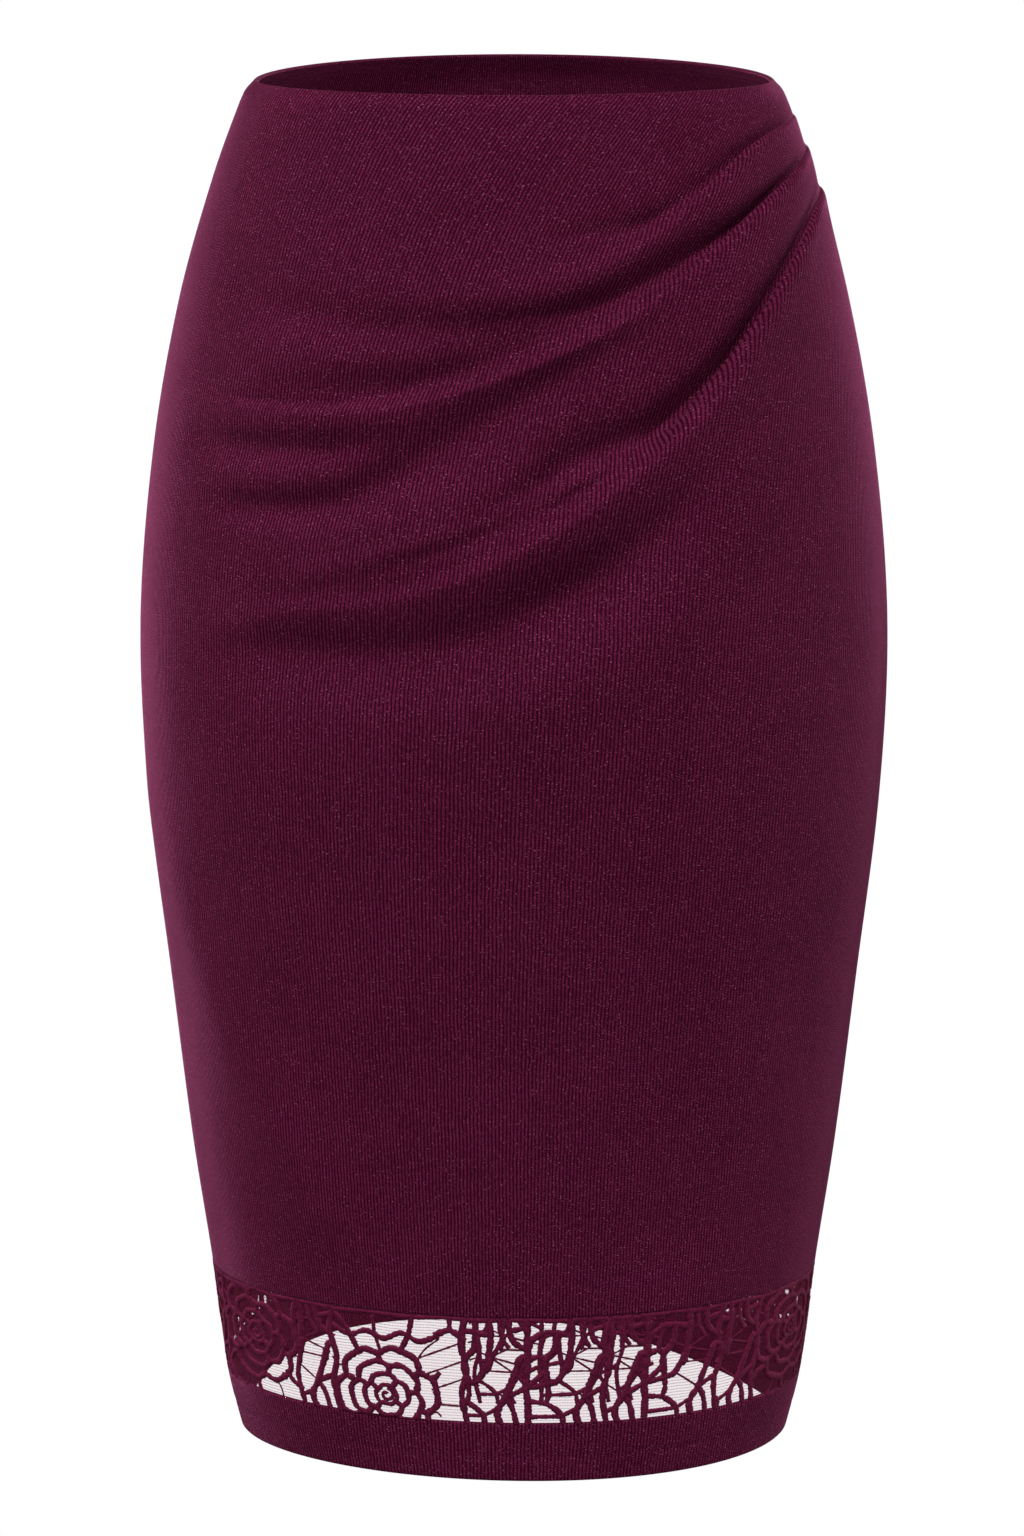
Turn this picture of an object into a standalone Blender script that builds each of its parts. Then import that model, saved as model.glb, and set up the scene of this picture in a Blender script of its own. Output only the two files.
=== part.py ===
"""Worn pencil skirt of fine rib knit, with three tucks in one side seam and a lace band at the hem.

Metres, +Z up. The origin is the centre of the waist opening, the front faces -Y and the wearer's
left side seam is at +X. "drop" is a depth below the waist edge, "share" a part of a panel's width
counted along its cut edge, and "turn" the angle round the body, from the wearer's right side seam
over the front to the left seam and back round behind.
"""

import math
from dataclasses import dataclass

import bmesh
import bpy
from mathutils import Vector
from mathutils.geometry import delaunay_2d_cdt

OBJECT_NAME = "pencil_skirt"

# Driving dimensions
LACE_TOP = 0.5605
BAND_TOP = 0.6137
HEM = 0.6430
KNIT_WALL = 0.0016
LACE_WALL = 0.0013
BAND_WALL = 0.0024
SEAM_GAP = 0.0003
LACE_SEAM_GAP = 0.0006  # between the lace halves, whose coarser facets lean at the side seams
SEAM_BEND = 0.085  # the rings' depth at the side seams, in metres for one radian of turn
SEAM_PLANE = -0.0200  # the side seams lie this far in front of the middle of the waist opening
WAIST_ROLL = 0.0020  # how far the turned top edge draws in
WAIST_ROLL_REACH = 0.0040  # and how far down it does so
BACK_DIP = 0.0045  # how far the back hem hangs lower at the wearer's left than at the right
MM = 0.001

# Grids
FRONT_COLUMNS, BACK_COLUMNS, BAND_COLUMNS = 30, 20, 28
FRONT_LOWER_ROWS, BACK_ROWS = 12, 18
WAIST_ROWS = 3  # above the upper tuck
BETWEEN_ROWS = 2  # above each other tuck
LIP_ROWS = (-1.2, -0.4, 0.4, 1.2)  # rows along a tuck's lip, in half widths of its roll
WAIST_EDGE = 0.006  # height of the back's first row
BAND_EDGE = 0.003  # height of the hem band's first and last rows
SEAM_COLUMN = 0.006  # width of the narrow columns, as a share of the panel

# The worn shape, as half rings joined at the side seams. A skew swings a half ring's deepest point
# towards the wearer's left (plus) or right (minus).
# drop, half width, front depth, back depth, front skew, back skew
SECTIONS = (
    (0.000, 0.1190, 0.0689, 0.1091, 0.00, 0.00),
    (0.012, 0.1243, 0.0725, 0.1118, 0.00, 0.00),
    (0.045, 0.1365, 0.0815, 0.1190, 0.00, 0.00),
    (0.100, 0.1525, 0.0945, 0.1310, 0.00, 0.00),
    (0.170, 0.1655, 0.1035, 0.1420, 0.00, 0.00),
    (0.250, 0.1726, 0.1065, 0.1470, 0.00, -0.02),
    (0.330, 0.1703, 0.1035, 0.1465, 0.00, -0.07),
    (0.420, 0.1608, 0.0965, 0.1445, 0.00, -0.14),
    (0.500, 0.1520, 0.0905, 0.1420, 0.02, -0.20),
    (0.560, 0.1437, 0.0868, 0.1410, 0.04, -0.25),
    (0.615, 0.1372, 0.0832, 0.1400, 0.06, -0.28),
    (0.643, 0.1308, 0.0812, 0.1395, 0.07, -0.30),
)

# The three tucks, each a lip of cloth lying over the cloth above it, from the wearer's left seam
# (share 1) down across the front until it fades.
# share of the front's width, drop of the lip, height of the lip, half width of its roll
UPPER_TUCK = (
    (0.00, 0.0800, 0.0000, 0.0120),
    (0.40, 0.0790, 0.0002, 0.0110),
    (0.50, 0.0765, 0.0012, 0.0080),
    (0.60, 0.0655, 0.0024, 0.0045),
    (0.70, 0.0445, 0.0030, 0.0028),
    (0.80, 0.0300, 0.0030, 0.0022),
    (0.90, 0.0215, 0.0026, 0.0020),
    (1.00, 0.0175, 0.0012, 0.0020),
)
MIDDLE_TUCK = (
    (0.00, 0.1310, 0.0000, 0.0120),
    (0.20, 0.1360, 0.0006, 0.0110),
    (0.30, 0.1370, 0.0016, 0.0085),
    (0.40, 0.1320, 0.0022, 0.0070),
    (0.50, 0.1160, 0.0028, 0.0055),
    (0.60, 0.0945, 0.0032, 0.0038),
    (0.70, 0.0705, 0.0034, 0.0026),
    (0.80, 0.0505, 0.0034, 0.0022),
    (0.90, 0.0380, 0.0030, 0.0020),
    (1.00, 0.0300, 0.0014, 0.0020),
)
LOWER_TUCK = (
    (0.00, 0.2320, 0.0000, 0.0140),
    (0.20, 0.2300, 0.0003, 0.0140),
    (0.30, 0.2260, 0.0010, 0.0120),
    (0.40, 0.2150, 0.0020, 0.0095),
    (0.50, 0.1920, 0.0030, 0.0065),
    (0.60, 0.1600, 0.0038, 0.0040),
    (0.70, 0.1160, 0.0040, 0.0028),
    (0.80, 0.0800, 0.0040, 0.0024),
    (0.90, 0.0575, 0.0034, 0.0022),
    (1.00, 0.0490, 0.0016, 0.0022),
)
TUCKS = (UPPER_TUCK, MIDDLE_TUCK, LOWER_TUCK)
HOLLOW_SHARE = 0.28  # the cloth above a lip sinks by this share of the lip's height
HOLLOW_REACH = 3.0  # in rolls
TAIL_REACH = 0.017  # how far below its lip a tuck takes to fall back to the body
TAIL_POWER = 1.25
FOLD_FADE = 0.5  # soft folds fade towards the side seams by this power of a sine

# Soft folds without a lip, each a straight ridge (plus) or trough (minus) on the front.
# share and drop of one end, share and drop of the other, height, half width
SOFT_FOLDS = (
    (0.06, 0.330, 0.29, 0.510, 0.0022, 0.020),
    (0.20, 0.085, 0.47, 0.100, -0.0014, 0.011),
    (0.24, 0.184, 0.39, 0.164, -0.0014, 0.012),
    (0.30, 0.238, 0.55, 0.212, -0.0016, 0.013),
    (0.55, 0.330, 0.66, 0.520, -0.0016, 0.026),
)
BACK_SOFT_FOLDS = (
    (0.02, 0.060, 0.40, 0.120, 0.0018, 0.014),
    (0.02, 0.095, 0.50, 0.175, 0.0016, 0.016),
    (0.30, 0.300, 0.62, 0.325, 0.0014, 0.014),
    (0.36, 0.345, 0.70, 0.365, 0.0012, 0.014),
    (0.80, 0.340, 0.70, 0.520, 0.0018, 0.020),
)

# Steps for measuring the worn shape
SMALL_TURN, SMALL_DROP, SMALL_SHARE = 0.004, 0.0015, 0.02
GIRTH_STEPS = 240
FOLD_LEVEL = 0.15  # the drop whose girth gives the folds their width

LACE_HEIGHT = (BAND_TOP - LACE_TOP - SEAM_GAP) / MM  # in millimetres, as the chart is

# Lace chart. Millimetres across a repeat and up from the hem band; a cord is a run of named points.
LEAF_WIDTH = 36.0
LEAF_POINTS = {
    "a": (0.0, 54.0), "b": (0.6, 41.0), "c": (0.6, 32.0), "d": (-0.2, 18.0), "e": (0.8, 11.5),
    "f": (1.0, 3.5), "g": (1.0, -1.0), "h": (8.0, 46.2), "i": (13.6, 45.8), "j": (12.5, 37.0),
    "k": (8.5, 31.5), "l": (6.6, 40.0), "m": (6.2, 34.0), "n": (19.0, 54.0), "o": (20.2, 44.0),
    "p": (20.2, 33.5), "q": (18.5, 26.5), "r": (14.5, 22.0), "s": (9.6, 20.0), "t": (8.0, 26.0),
    "u": (10.2, 14.5), "v": (9.0, 10.4), "w": (13.3, 7.4), "x": (16.5, 3.8), "y": (17.2, -1.0),
    "z": (23.6, 7.8), "A": (36.6, 33.0), "B": (33.6, 33.0), "C": (31.2, 26.0), "D": (28.6, 19.0),
    "E": (26.6, 13.0), "F": (23.0, 4.0), "G": (24.6, -1.0), "H": (29.7, 8.0), "I": (31.8, -1.0),
    "J": (35.8, 18.0), "K": (24.0, 54.0), "L": (25.0, 44.0), "M": (28.4, 38.0), "N": (27.8, 54.0),
    "O": (28.6, 46.5), "P": (30.6, 41.0), "Q": (36.6, 37.0), "R": (36.4, 48.5), "S": (33.0, 29.6),
}
# half width of the cord, its points
LEAF_CORDS = (
    (1.5, "abcdefg"),
    (1.2, "bh"), (1.2, "hio"), (1.4, "ijks"), (1.3, "noqprs"), (0.9, "hlmk"), (1.1, "cmk"),
    (0.5, "bl"), (0.5, "jp"), (1.2, "ktd"), (1.2, "sd"), (1.0, "suv"), (1.0, "ve"),
    (1.1, "vwxy"), (0.8, "fx"), (0.8, "xz"), (1.4, "ABCDEzFG"), (1.1, "EHI"), (1.1, "JE"),
    (0.5, "pS"), (0.5, "qC"), (0.5, "rE"), (0.7, "KLM"), (0.5, "oL"), (0.5, "pM"),
    (1.2, "NOPQ"), (1.0, "OR"),
)
BARS_WIDTH = 12.0
BARS_REACH = 14.0  # the bars start this far back, on the rose before them
BARS_POINTS = {
    "a": (-1.0, 43.0), "b": (6.0, 46.0), "c": (13.0, 41.0), "d": (-12.0, 29.5), "e": (-6.0, 23.0),
    "f": (13.0, 31.5), "g": (-3.0, 15.5), "h": (13.0, 22.5), "i": (-2.0, 8.5), "j": (13.0, 8.0),
    "k": (6.0, 54.0),
}
BARS_CORDS = ((1.2, "abc"), (0.9, "bk"), (0.5, "dc"), (0.5, "ef"), (0.5, "gh"), (0.5, "ij"))
# The upright cord that starts a cut leaf repeat or a rose: sway, half width, corners' heights
TRUNK_BEND, TRUNK_HALF_CORD = 1.2, 1.2
TRUNK_HEIGHTS = (54.0, 40.0, 27.0, 14.0, -1.0)
ROSE_WIDTH = 49.0
# radius in millimetres, number of petals, first petal's angle in degrees, half width of the cord
ROSE_RINGS = (
    (5.0, 3, 20.0, 0.9),
    (10.5, 4, 55.0, 1.1),
    (17.0, 5, 10.0, 1.2),
    (24.0, 6, 38.0, 1.3),
)
PETAL_DIP = 0.86  # radius where two petals meet, as a share of their ring's
PETAL_SPOTS = 4  # corners of a petal
PETAL_FOOT, RAY_FOOT = 0.97, 0.93  # where joining cords and rays start, as a share of the ring's
SHORTEST_RAY = 1.05  # likewise
# Cords that run out from a rose: angle in degrees, half width of the cord
ROSE_RAYS = (
    (8.0, 0.5), (28.0, 1.1), (50.0, 0.5), (72.0, 1.0), (95.0, 0.6), (121.0, 1.1), (148.0, 0.5),
    (172.0, 0.9), (196.0, 0.5), (220.0, 1.1), (246.0, 0.5), (268.0, 1.0), (293.0, 0.5),
    (318.0, 1.1), (341.0, 0.5),
)
RAY_SWAY = 1.3  # how far a ray's middle bends aside, in millimetres
# The wave of cord that crosses the rays above a low rose.
WAVE_POINTS = {
    "a": (-1.0, 44.0), "b": (8.0, 39.5), "c": (16.5, 42.5), "d": (24.5, 39.5), "e": (33.0, 43.0),
    "f": (41.0, 39.5), "g": (50.0, 43.0),
}
WAVE_CORDS = ((1.1, "abcdefg"),)
LOW_ROSE, HIGH_ROSE = 11.0, 30.0  # height of a rose's centre above the hem band
# motif, the point of its chart where it starts (leaf repeats only)
FRONT_LACE = (
    ("leaf", 15.0), ("high rose", 0.0), ("leaf", 17.0), ("low rose", 0.0), ("bars", 0.0),
    ("leaf", 8.0), ("leaf", 0.0), ("leaf", 18.0), ("leaf", 0.0), ("leaf", 15.0),
    ("high rose", 0.0), ("leaf", 26.0),
)
BACK_LACE = (
    ("leaf", 24.0), ("low rose", 0.0), ("bars", 0.0), ("leaf", 0.0), ("leaf", 18.0),
    ("high rose", 0.0), ("leaf", 16.0), ("leaf", 0.0), ("low rose", 0.0), ("bars", 0.0),
    ("leaf", 8.0), ("leaf", 0.0), ("high rose", 0.0), ("leaf", 20.0),
)
OVERRUN = 1.0  # how far cords run past the lace's edges, in millimetres
LEAST_HALF_CORD = 0.6  # the finest cord of the solid, in millimetres
LACE_BORDER = 1.4  # uncut edge of the lace, in millimetres
LEAST_GAP = 27.0  # the smallest gap that is cut, in square millimetres
GAP_CORNERS = 7
HOLLOW_COST = 5.0  # a corner that bends inwards is kept this much longer, so no cord is cut thin
STRAIGHT_BEND = 0.25  # sine of the bend under which two sides of a gap count as one line
LONGEST_MITRE = 3.0  # of a gap's corner, in half cords
CORD_SHARE = 0.93  # a gap's corner nearer a cord's middle than this share of its half is left out
LONGEST_SIDE = 11.0
BORDER_STEP = 9.0
CROSSING_TOLERANCE = 0.05  # cords that pass this near to a crossing meet in it, in millimetres
MERGE_TOLERANCE = 1e-5
WHOLE_CELLS, TRIANGLES_INSIDE = 3, 1  # what the plane triangulation gives back

# colour, roughness
KNIT_FINISH = ((0.072, 0.006, 0.020, 1.0), 0.85)
LACE_FINISH = ((0.060, 0.004, 0.015, 1.0), 0.75)


@dataclass(frozen=True)
class HalfRing:
    """One half of the skirt, between the side seams: its first turn and its soft folds."""

    first_turn: float
    tucks: tuple
    soft_folds: tuple

    def turn(self, share):
        return self.first_turn + math.pi * share


FRONT = HalfRing(0.0, TUCKS, SOFT_FOLDS)
BACK = HalfRing(math.pi, (), BACK_SOFT_FOLDS)


def smooth_row(rows, at):
    """The other columns of a table at a value of its first column, on a smooth curve."""
    last = len(rows) - 2
    index = max(0, min(last, sum(1 for row in rows if row[0] <= at) - 1))
    before = rows[max(index - 1, 0)]
    low, high = rows[index], rows[index + 1]
    after = rows[min(index + 2, last + 1)]
    step = high[0] - low[0]
    t = min(max((at - low[0]) / step, 0.0), 1.0)
    found = []
    for column in range(1, len(low)):
        enter = (high[column] - before[column]) / (high[0] - before[0]) * step
        leave = (after[column] - low[column]) / (after[0] - low[0]) * step
        found.append(
            (2 * t**3 - 3 * t**2 + 1) * low[column]
            + (t**3 - 2 * t**2 + t) * enter
            + (3 * t**2 - 2 * t**3) * high[column]
            + (t**3 - t**2) * leave
        )
    return found


def body_point(turn, drop):
    """A point of the worn shape, before its folds."""
    half_width, front, back, front_skew, back_skew = smooth_row(SECTIONS, drop)
    across = -math.cos(turn)
    depth = math.sin(turn)
    if depth >= 0:
        away = -front * depth * (1 + front_skew * across)
        return Vector((half_width * across, SEAM_PLANE + away, -drop))
    away = -back * depth * (1 + back_skew * across * abs(across))
    dip = BACK_DIP * (drop / HEM) ** 3 * -depth * across
    return Vector((half_width * across, SEAM_PLANE + away, -drop - dip))


def body_normal(turn, drop):
    """The outward direction of the worn shape."""
    drop = min(max(drop, SMALL_DROP), HEM - SMALL_DROP)
    round_body = body_point(turn + SMALL_TURN, drop) - body_point(turn - SMALL_TURN, drop)
    down = body_point(turn, drop + SMALL_DROP) - body_point(turn, drop - SMALL_DROP)
    return down.cross(round_body).normalized()


def tuck_slant(tuck, share):
    """Cosine of a tuck's slope on the cloth."""
    low, high = max(share - SMALL_SHARE, 0.0), min(share + SMALL_SHARE, 1.0)
    rise = smooth_row(tuck, high)[0] - smooth_row(tuck, low)[0]
    return 1 / math.hypot(1, rise / ((high - low) * FRONT_GIRTH))


def tuck_rise(tuck, share, drop):
    """How far a tuck stands off the body at a point of the front."""
    lip, height, roll = smooth_row(tuck, share)
    below = (drop - lip) * tuck_slant(tuck, share)
    if below <= -roll:
        return -HOLLOW_SHARE * height * math.exp(-(((below + roll) / (HOLLOW_REACH * roll)) ** 2))
    if below < roll:
        part = (below + roll) / (2 * roll)
        eased = part * part * (3 - 2 * part)
        return height * (eased * (1 + HOLLOW_SHARE) - HOLLOW_SHARE)
    return height * math.exp(-(((below - roll) / TAIL_REACH) ** TAIL_POWER))


def soft_rise(fold, share, drop):
    """How far a soft fold stands off the body."""
    share_a, drop_a, share_b, drop_b, height, reach = fold
    start = Vector((share_a * FRONT_GIRTH, drop_a))
    end = Vector((share_b * FRONT_GIRTH, drop_b))
    point = Vector((share * FRONT_GIRTH, drop))
    along = (point - start).dot(end - start) / (end - start).length_squared
    nearest = start.lerp(end, min(max(along, 0.0), 1.0))
    return height * math.exp(-(((point - nearest).length / reach) ** 2))


def cloth_point(half, share, drop):
    """A point of the skirt's outer face."""
    turn = half.turn(share)
    rise = -WAIST_ROLL * math.exp(-((drop / WAIST_ROLL_REACH) ** 2))
    rise += sum(tuck_rise(tuck, share, drop) for tuck in half.tucks)
    fade = math.sin(math.pi * share) ** FOLD_FADE
    rise += fade * sum(soft_rise(fold, share, drop) for fold in half.soft_folds)
    return body_point(turn, drop) + body_normal(turn, drop) * rise


def half_girth(half, drop):
    """Lengths round one half of the worn shape, from its first seam to even steps of its turn."""
    places = [body_point(half.turn(i / GIRTH_STEPS), drop) for i in range(GIRTH_STEPS + 1)]
    lengths = [0.0]
    for first, second in zip(places, places[1:]):
        lengths.append(lengths[-1] + (second - first).length)
    return lengths


def share_at(lengths, part):
    """The share of the turn at a part of a half ring's length."""
    goal = part * lengths[-1]
    index = max(0, min(len(lengths) - 2, sum(1 for value in lengths if value <= goal) - 1))
    inside = (goal - lengths[index]) / (lengths[index + 1] - lengths[index])
    return (index + inside) / (len(lengths) - 1)


FRONT_GIRTH = half_girth(FRONT, FOLD_LEVEL)[-1]


def inset_share(share, gap=SEAM_GAP):
    """A share moved in from the side seams by half a gap, by the turn that it takes there."""
    margin = gap / 2 / (math.pi * SEAM_BEND)
    return margin + share * (1 - 2 * margin)


def column_share(column, columns):
    """Even columns, with a narrow one beside each side seam so that the wall's end lies square."""
    if column in (0, columns):
        return column / columns
    return SEAM_COLUMN + (1 - 2 * SEAM_COLUMN) * (column - 1) / (columns - 2)


def even(low, high, count):
    """count values from low towards high, without high."""
    return [low + (high - low) * i / count for i in range(count)]


def front_rows(share):
    """Drops of the front panel's grid rows, which run along the tucks."""
    bottom = LACE_TOP - SEAM_GAP / 2
    rows, reached = [], 0.0
    for tuck in TUCKS:
        lip, _, roll = smooth_row(tuck, share)
        along_lip = [lip + part * roll / tuck_slant(tuck, share) for part in LIP_ROWS]
        rows += even(reached, along_lip[0], WAIST_ROWS if tuck is UPPER_TUCK else BETWEEN_ROWS)
        rows += along_lip[:-1]
        reached = along_lip[-1]
    return rows + even(reached, bottom, FRONT_LOWER_ROWS) + [bottom]


def back_rows(_share):
    """Drops of the back panel's grid rows."""
    bottom = LACE_TOP - SEAM_GAP / 2
    return [0.0] + even(WAIST_EDGE, bottom, BACK_ROWS) + [bottom]


def band_rows(_share):
    """Drops of the hem band's grid rows."""
    top = BAND_TOP + SEAM_GAP / 2
    return [top, top + BAND_EDGE, (top + HEM) / 2, HEM - BAND_EDGE, HEM]


def finish_object(name, mesh, wall, finish, collection):
    """Names a mesh, gives it its wall and material, and puts it with the skirt."""
    piece = bpy.data.objects.new(name, mesh)
    collection.objects.link(piece)
    shell = piece.modifiers.new("wall", "SOLIDIFY")
    shell.thickness = wall
    shell.offset = -1.0
    shell.use_even_offset = True
    shell.use_quality_normals = True
    colour, roughness = finish
    material = bpy.data.materials.new(f"{name}_cloth")
    material.use_nodes = True
    shader = material.node_tree.nodes["Principled BSDF"]
    shader.inputs["Base Color"].default_value = colour
    shader.inputs["Roughness"].default_value = roughness
    shader.inputs["Metallic"].default_value = 0.0
    mesh.materials.append(material)
    mesh.shade_smooth()
    return piece


def grid_panel(name, half, columns, rows_at, wall, collection):
    """A cloth panel from one side seam to the other, as a bent grid with a wall."""
    rows = len(rows_at(0.5)) - 1
    bm = bmesh.new()
    bmesh.ops.create_grid(bm, x_segments=columns, y_segments=rows, size=0.5)
    for vertex in bm.verts:
        share = inset_share(column_share(round((vertex.co.x + 0.5) * columns), columns))
        row = round((0.5 - vertex.co.y) * rows)
        vertex.co = cloth_point(half, share, rows_at(share)[row])
    mesh = bpy.data.meshes.new(name)
    bm.to_mesh(mesh)
    bm.free()
    return finish_object(name, mesh, wall, KNIT_FINISH, collection)


def cut_at_start(points, start):
    """The part of a cord's run at or past a point across its repeat."""
    kept = []
    for first, second in zip(points, points[1:]):
        if (first[0] < start) != (second[0] < start):
            part = (start - first[0]) / (second[0] - first[0])
            crossing = (start, first[1] + part * (second[1] - first[1]))
        else:
            crossing = None
        if first[0] >= start:
            kept.append(first)
        if crossing:
            kept.append(crossing)
    if points[-1][0] >= start:
        kept.append(points[-1])
    return kept


def charted(points, cords, start, left):
    """Cords of a charted repeat, cut at start and moved so that start lies at left."""
    runs = []
    for half_cord, names in cords:
        run = cut_at_start([points[name] for name in names], start)
        if len(run) > 1:
            runs.append((half_cord, [(x - start + left, y) for x, y in run]))
    return runs


def trunk(left):
    """The upright cord that starts a repeat."""
    sway = [left + TRUNK_BEND * (-1) ** i for i in range(len(TRUNK_HEIGHTS))]
    return (TRUNK_HALF_CORD, list(zip(sway, TRUNK_HEIGHTS)))


def rose(left, height):
    """Cords of a rose: rings of petals, each ring joined to the one inside it where petals meet."""
    centre = left + ROSE_WIDTH / 2
    runs, inner = [], None
    for radius, petals, first, half_cord in ROSE_RINGS:
        spots = PETAL_SPOTS * petals
        ring = []
        for i in range(spots + 1):
            angle = math.radians(first) + 2 * math.pi * i / spots
            place = radius * (1.0 if i % PETAL_SPOTS else PETAL_DIP)
            ring.append((centre + place * math.cos(angle), height + place * math.sin(angle)))
        runs.append((half_cord, ring))
        if inner:
            for i in range(0, spots, PETAL_SPOTS):
                angle = math.radians(first) + 2 * math.pi * i / spots
                foot = inner * PETAL_FOOT
                low = (centre + foot * math.cos(angle), height + foot * math.sin(angle))
                runs.append((half_cord, [low, ring[i]]))
        inner = radius
    for index, (degrees, half_cord) in enumerate(ROSE_RAYS):
        angle = math.radians(degrees)
        out = Vector((math.cos(angle), math.sin(angle)))
        start = Vector((centre, height)) + out * RAY_FOOT * inner
        room = (LACE_HEIGHT - height if out.y > 0 else height) + OVERRUN
        length = min((ROSE_WIDTH / 2 + OVERRUN) / abs(out.x), room / abs(out.y))
        end = Vector((centre, height)) + out * length
        if length > SHORTEST_RAY * inner and start.y > 0:
            side = Vector((-out.y, out.x)) * RAY_SWAY * (-1) ** index
            runs.append((half_cord, [start[:], (start.lerp(end, 0.5) + side)[:], end[:]]))
    return runs


def lace_cords(layout):
    """Every cord of a lace half, and the width of the layout, in millimetres."""
    runs, left = [], 0.0
    for motif, start in layout:
        if start > 0 or "rose" in motif:
            runs.append(trunk(left))
        if motif == "leaf":
            runs += charted(LEAF_POINTS, LEAF_CORDS, start, left)
            left += LEAF_WIDTH - start
        elif motif == "bars":
            runs += charted(BARS_POINTS, BARS_CORDS, -BARS_REACH, left - BARS_REACH)
            left += BARS_WIDTH
        else:
            low = motif == "low rose"
            runs += rose(left, LOW_ROSE if low else HIGH_ROSE)
            if low:
                runs += charted(WAVE_POINTS, WAVE_CORDS, 0.0, left)
            left += ROSE_WIDTH
    return runs, left


def planar_cells(runs, width, height):
    """The gaps between cords, as polygons with the half cord on each of their sides."""
    corners = [(0.0, 0.0), (width, 0.0), (width, height), (0.0, height)]
    points = [Vector(corner) for corner in corners]
    edges = [(0, 1), (1, 2), (2, 3), (3, 0)]
    halves = [LACE_BORDER] * 4
    for half_cord, run in runs:
        base = len(points)
        points += [Vector(place) for place in run]
        edges += [(base + i, base + i + 1) for i in range(len(run) - 1)]
        halves += [max(half_cord, LEAST_HALF_CORD)] * (len(run) - 1)
    places, found_edges, faces, _, origins, _ = delaunay_2d_cdt(
        points, edges, [], WHOLE_CELLS, CROSSING_TOLERANCE
    )
    side = {
        frozenset(edge): max([halves[k] for k in origin] or [LEAST_HALF_CORD])
        for edge, origin in zip(found_edges, origins)
    }
    cells = []
    for face in faces:
        outline = [places[k] for k in face]
        sides = [side[frozenset((face[i], face[(i + 1) % len(face)]))] for i in range(len(face))]
        middle = sum(outline, Vector((0.0, 0.0))) / len(outline)
        if 0 < middle.x < width and 0 < middle.y < height:
            cells.append((outline, sides))
    return cells


def polygon_area(outline):
    """Area of a polygon, plus when it runs anticlockwise."""
    return 0.5 * sum(a.x * b.y - a.y * b.x for a, b in zip(outline, outline[1:] + outline[:1]))


def side_distance(point, first, second):
    """Distance from a point to a polygon's side."""
    span = second - first
    part = min(max((point - first).dot(span) / max(span.length_squared, 1e-9), 0.0), 1.0)
    return (point - first.lerp(second, part)).length


def gap_outline(outline, sides):
    """A cell drawn in by the half cord on each side, with few corners; None if nothing is left."""
    count = len(outline)
    drawn = []
    for i in range(count):
        before, here, after = outline[i - 1], outline[i], outline[(i + 1) % count]
        enter, leave = (here - before).normalized(), (after - here).normalized()
        first = Vector((-enter.y, enter.x)) * sides[i - 1]
        second = Vector((-leave.y, leave.x)) * sides[i]
        bend = enter.x * leave.y - enter.y * leave.x
        if abs(bend) < STRAIGHT_BEND:
            place = here + (first + second) / 2
        else:
            inward = Vector((-leave.y, leave.x))
            mitre = first + enter * ((second - first).dot(inward) / enter.dot(inward))
            longest = LONGEST_MITRE * max(sides)
            place = here + mitre * min(1.0, longest / max(mitre.length, longest))
        drawn.append(place)
    kept = [
        place
        for place in drawn
        if all(
            side_distance(place, outline[k], outline[(k + 1) % count]) > CORD_SHARE * sides[k]
            for k in range(count)
        )
    ]
    while len(kept) > GAP_CORNERS:
        losses = [
            polygon_area([kept[i - 1], kept[i], kept[(i + 1) % len(kept)]])
            for i in range(len(kept))
        ]
        costs = [loss if loss >= 0 else -HOLLOW_COST * loss for loss in losses]
        kept.pop(costs.index(min(costs)))
    if len(kept) < 3 or polygon_area(kept) < LEAST_GAP:
        return None
    return stepped(kept)


def stepped(outline):
    """An outline with its long sides parted, so that they can follow a bent surface."""
    found = []
    for first, second in zip(outline, outline[1:] + outline[:1]):
        parts = math.ceil((second - first).length / LONGEST_SIDE)
        found += [first.lerp(second, i / parts) for i in range(parts)]
    return found


def lace_panel(name, half, layout, collection):
    """Half of the lace band: a strip cut through between its cords."""
    runs, width = lace_cords(layout)
    gaps = [gap_outline(*cell) for cell in planar_cells(runs, width, LACE_HEIGHT)]
    steps = round(width / BORDER_STEP)
    border = [Vector((width * i / steps, 0.0)) for i in range(steps + 1)]
    border += [Vector((width * (steps - i) / steps, LACE_HEIGHT)) for i in range(steps + 1)]
    points, faces = [], []
    for loop in [border] + [gap for gap in gaps if gap]:
        faces.append(list(range(len(points), len(points) + len(loop))))
        points += loop
    places, _, triangles, _, _, origins = delaunay_2d_cdt(
        points, [], faces, TRIANGLES_INSIDE, MERGE_TOLERANCE
    )
    lengths = half_girth(half, (LACE_TOP + BAND_TOP) / 2)
    bm = bmesh.new()
    made = []
    for place in places:
        share = inset_share(share_at(lengths, place.x / width), LACE_SEAM_GAP)
        drop = BAND_TOP - SEAM_GAP / 2 - place.y * MM
        made.append(bm.verts.new(cloth_point(half, share, drop)))
    for triangle, origin in zip(triangles, origins):
        if list(origin) == [0]:
            bm.faces.new([made[k] for k in triangle])
    bmesh.ops.delete(bm, geom=[v for v in bm.verts if not v.link_faces], context="VERTS")
    mesh = bpy.data.meshes.new(name)
    bm.to_mesh(mesh)
    bm.free()
    return finish_object(name, mesh, LACE_WALL, LACE_FINISH, collection)


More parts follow.
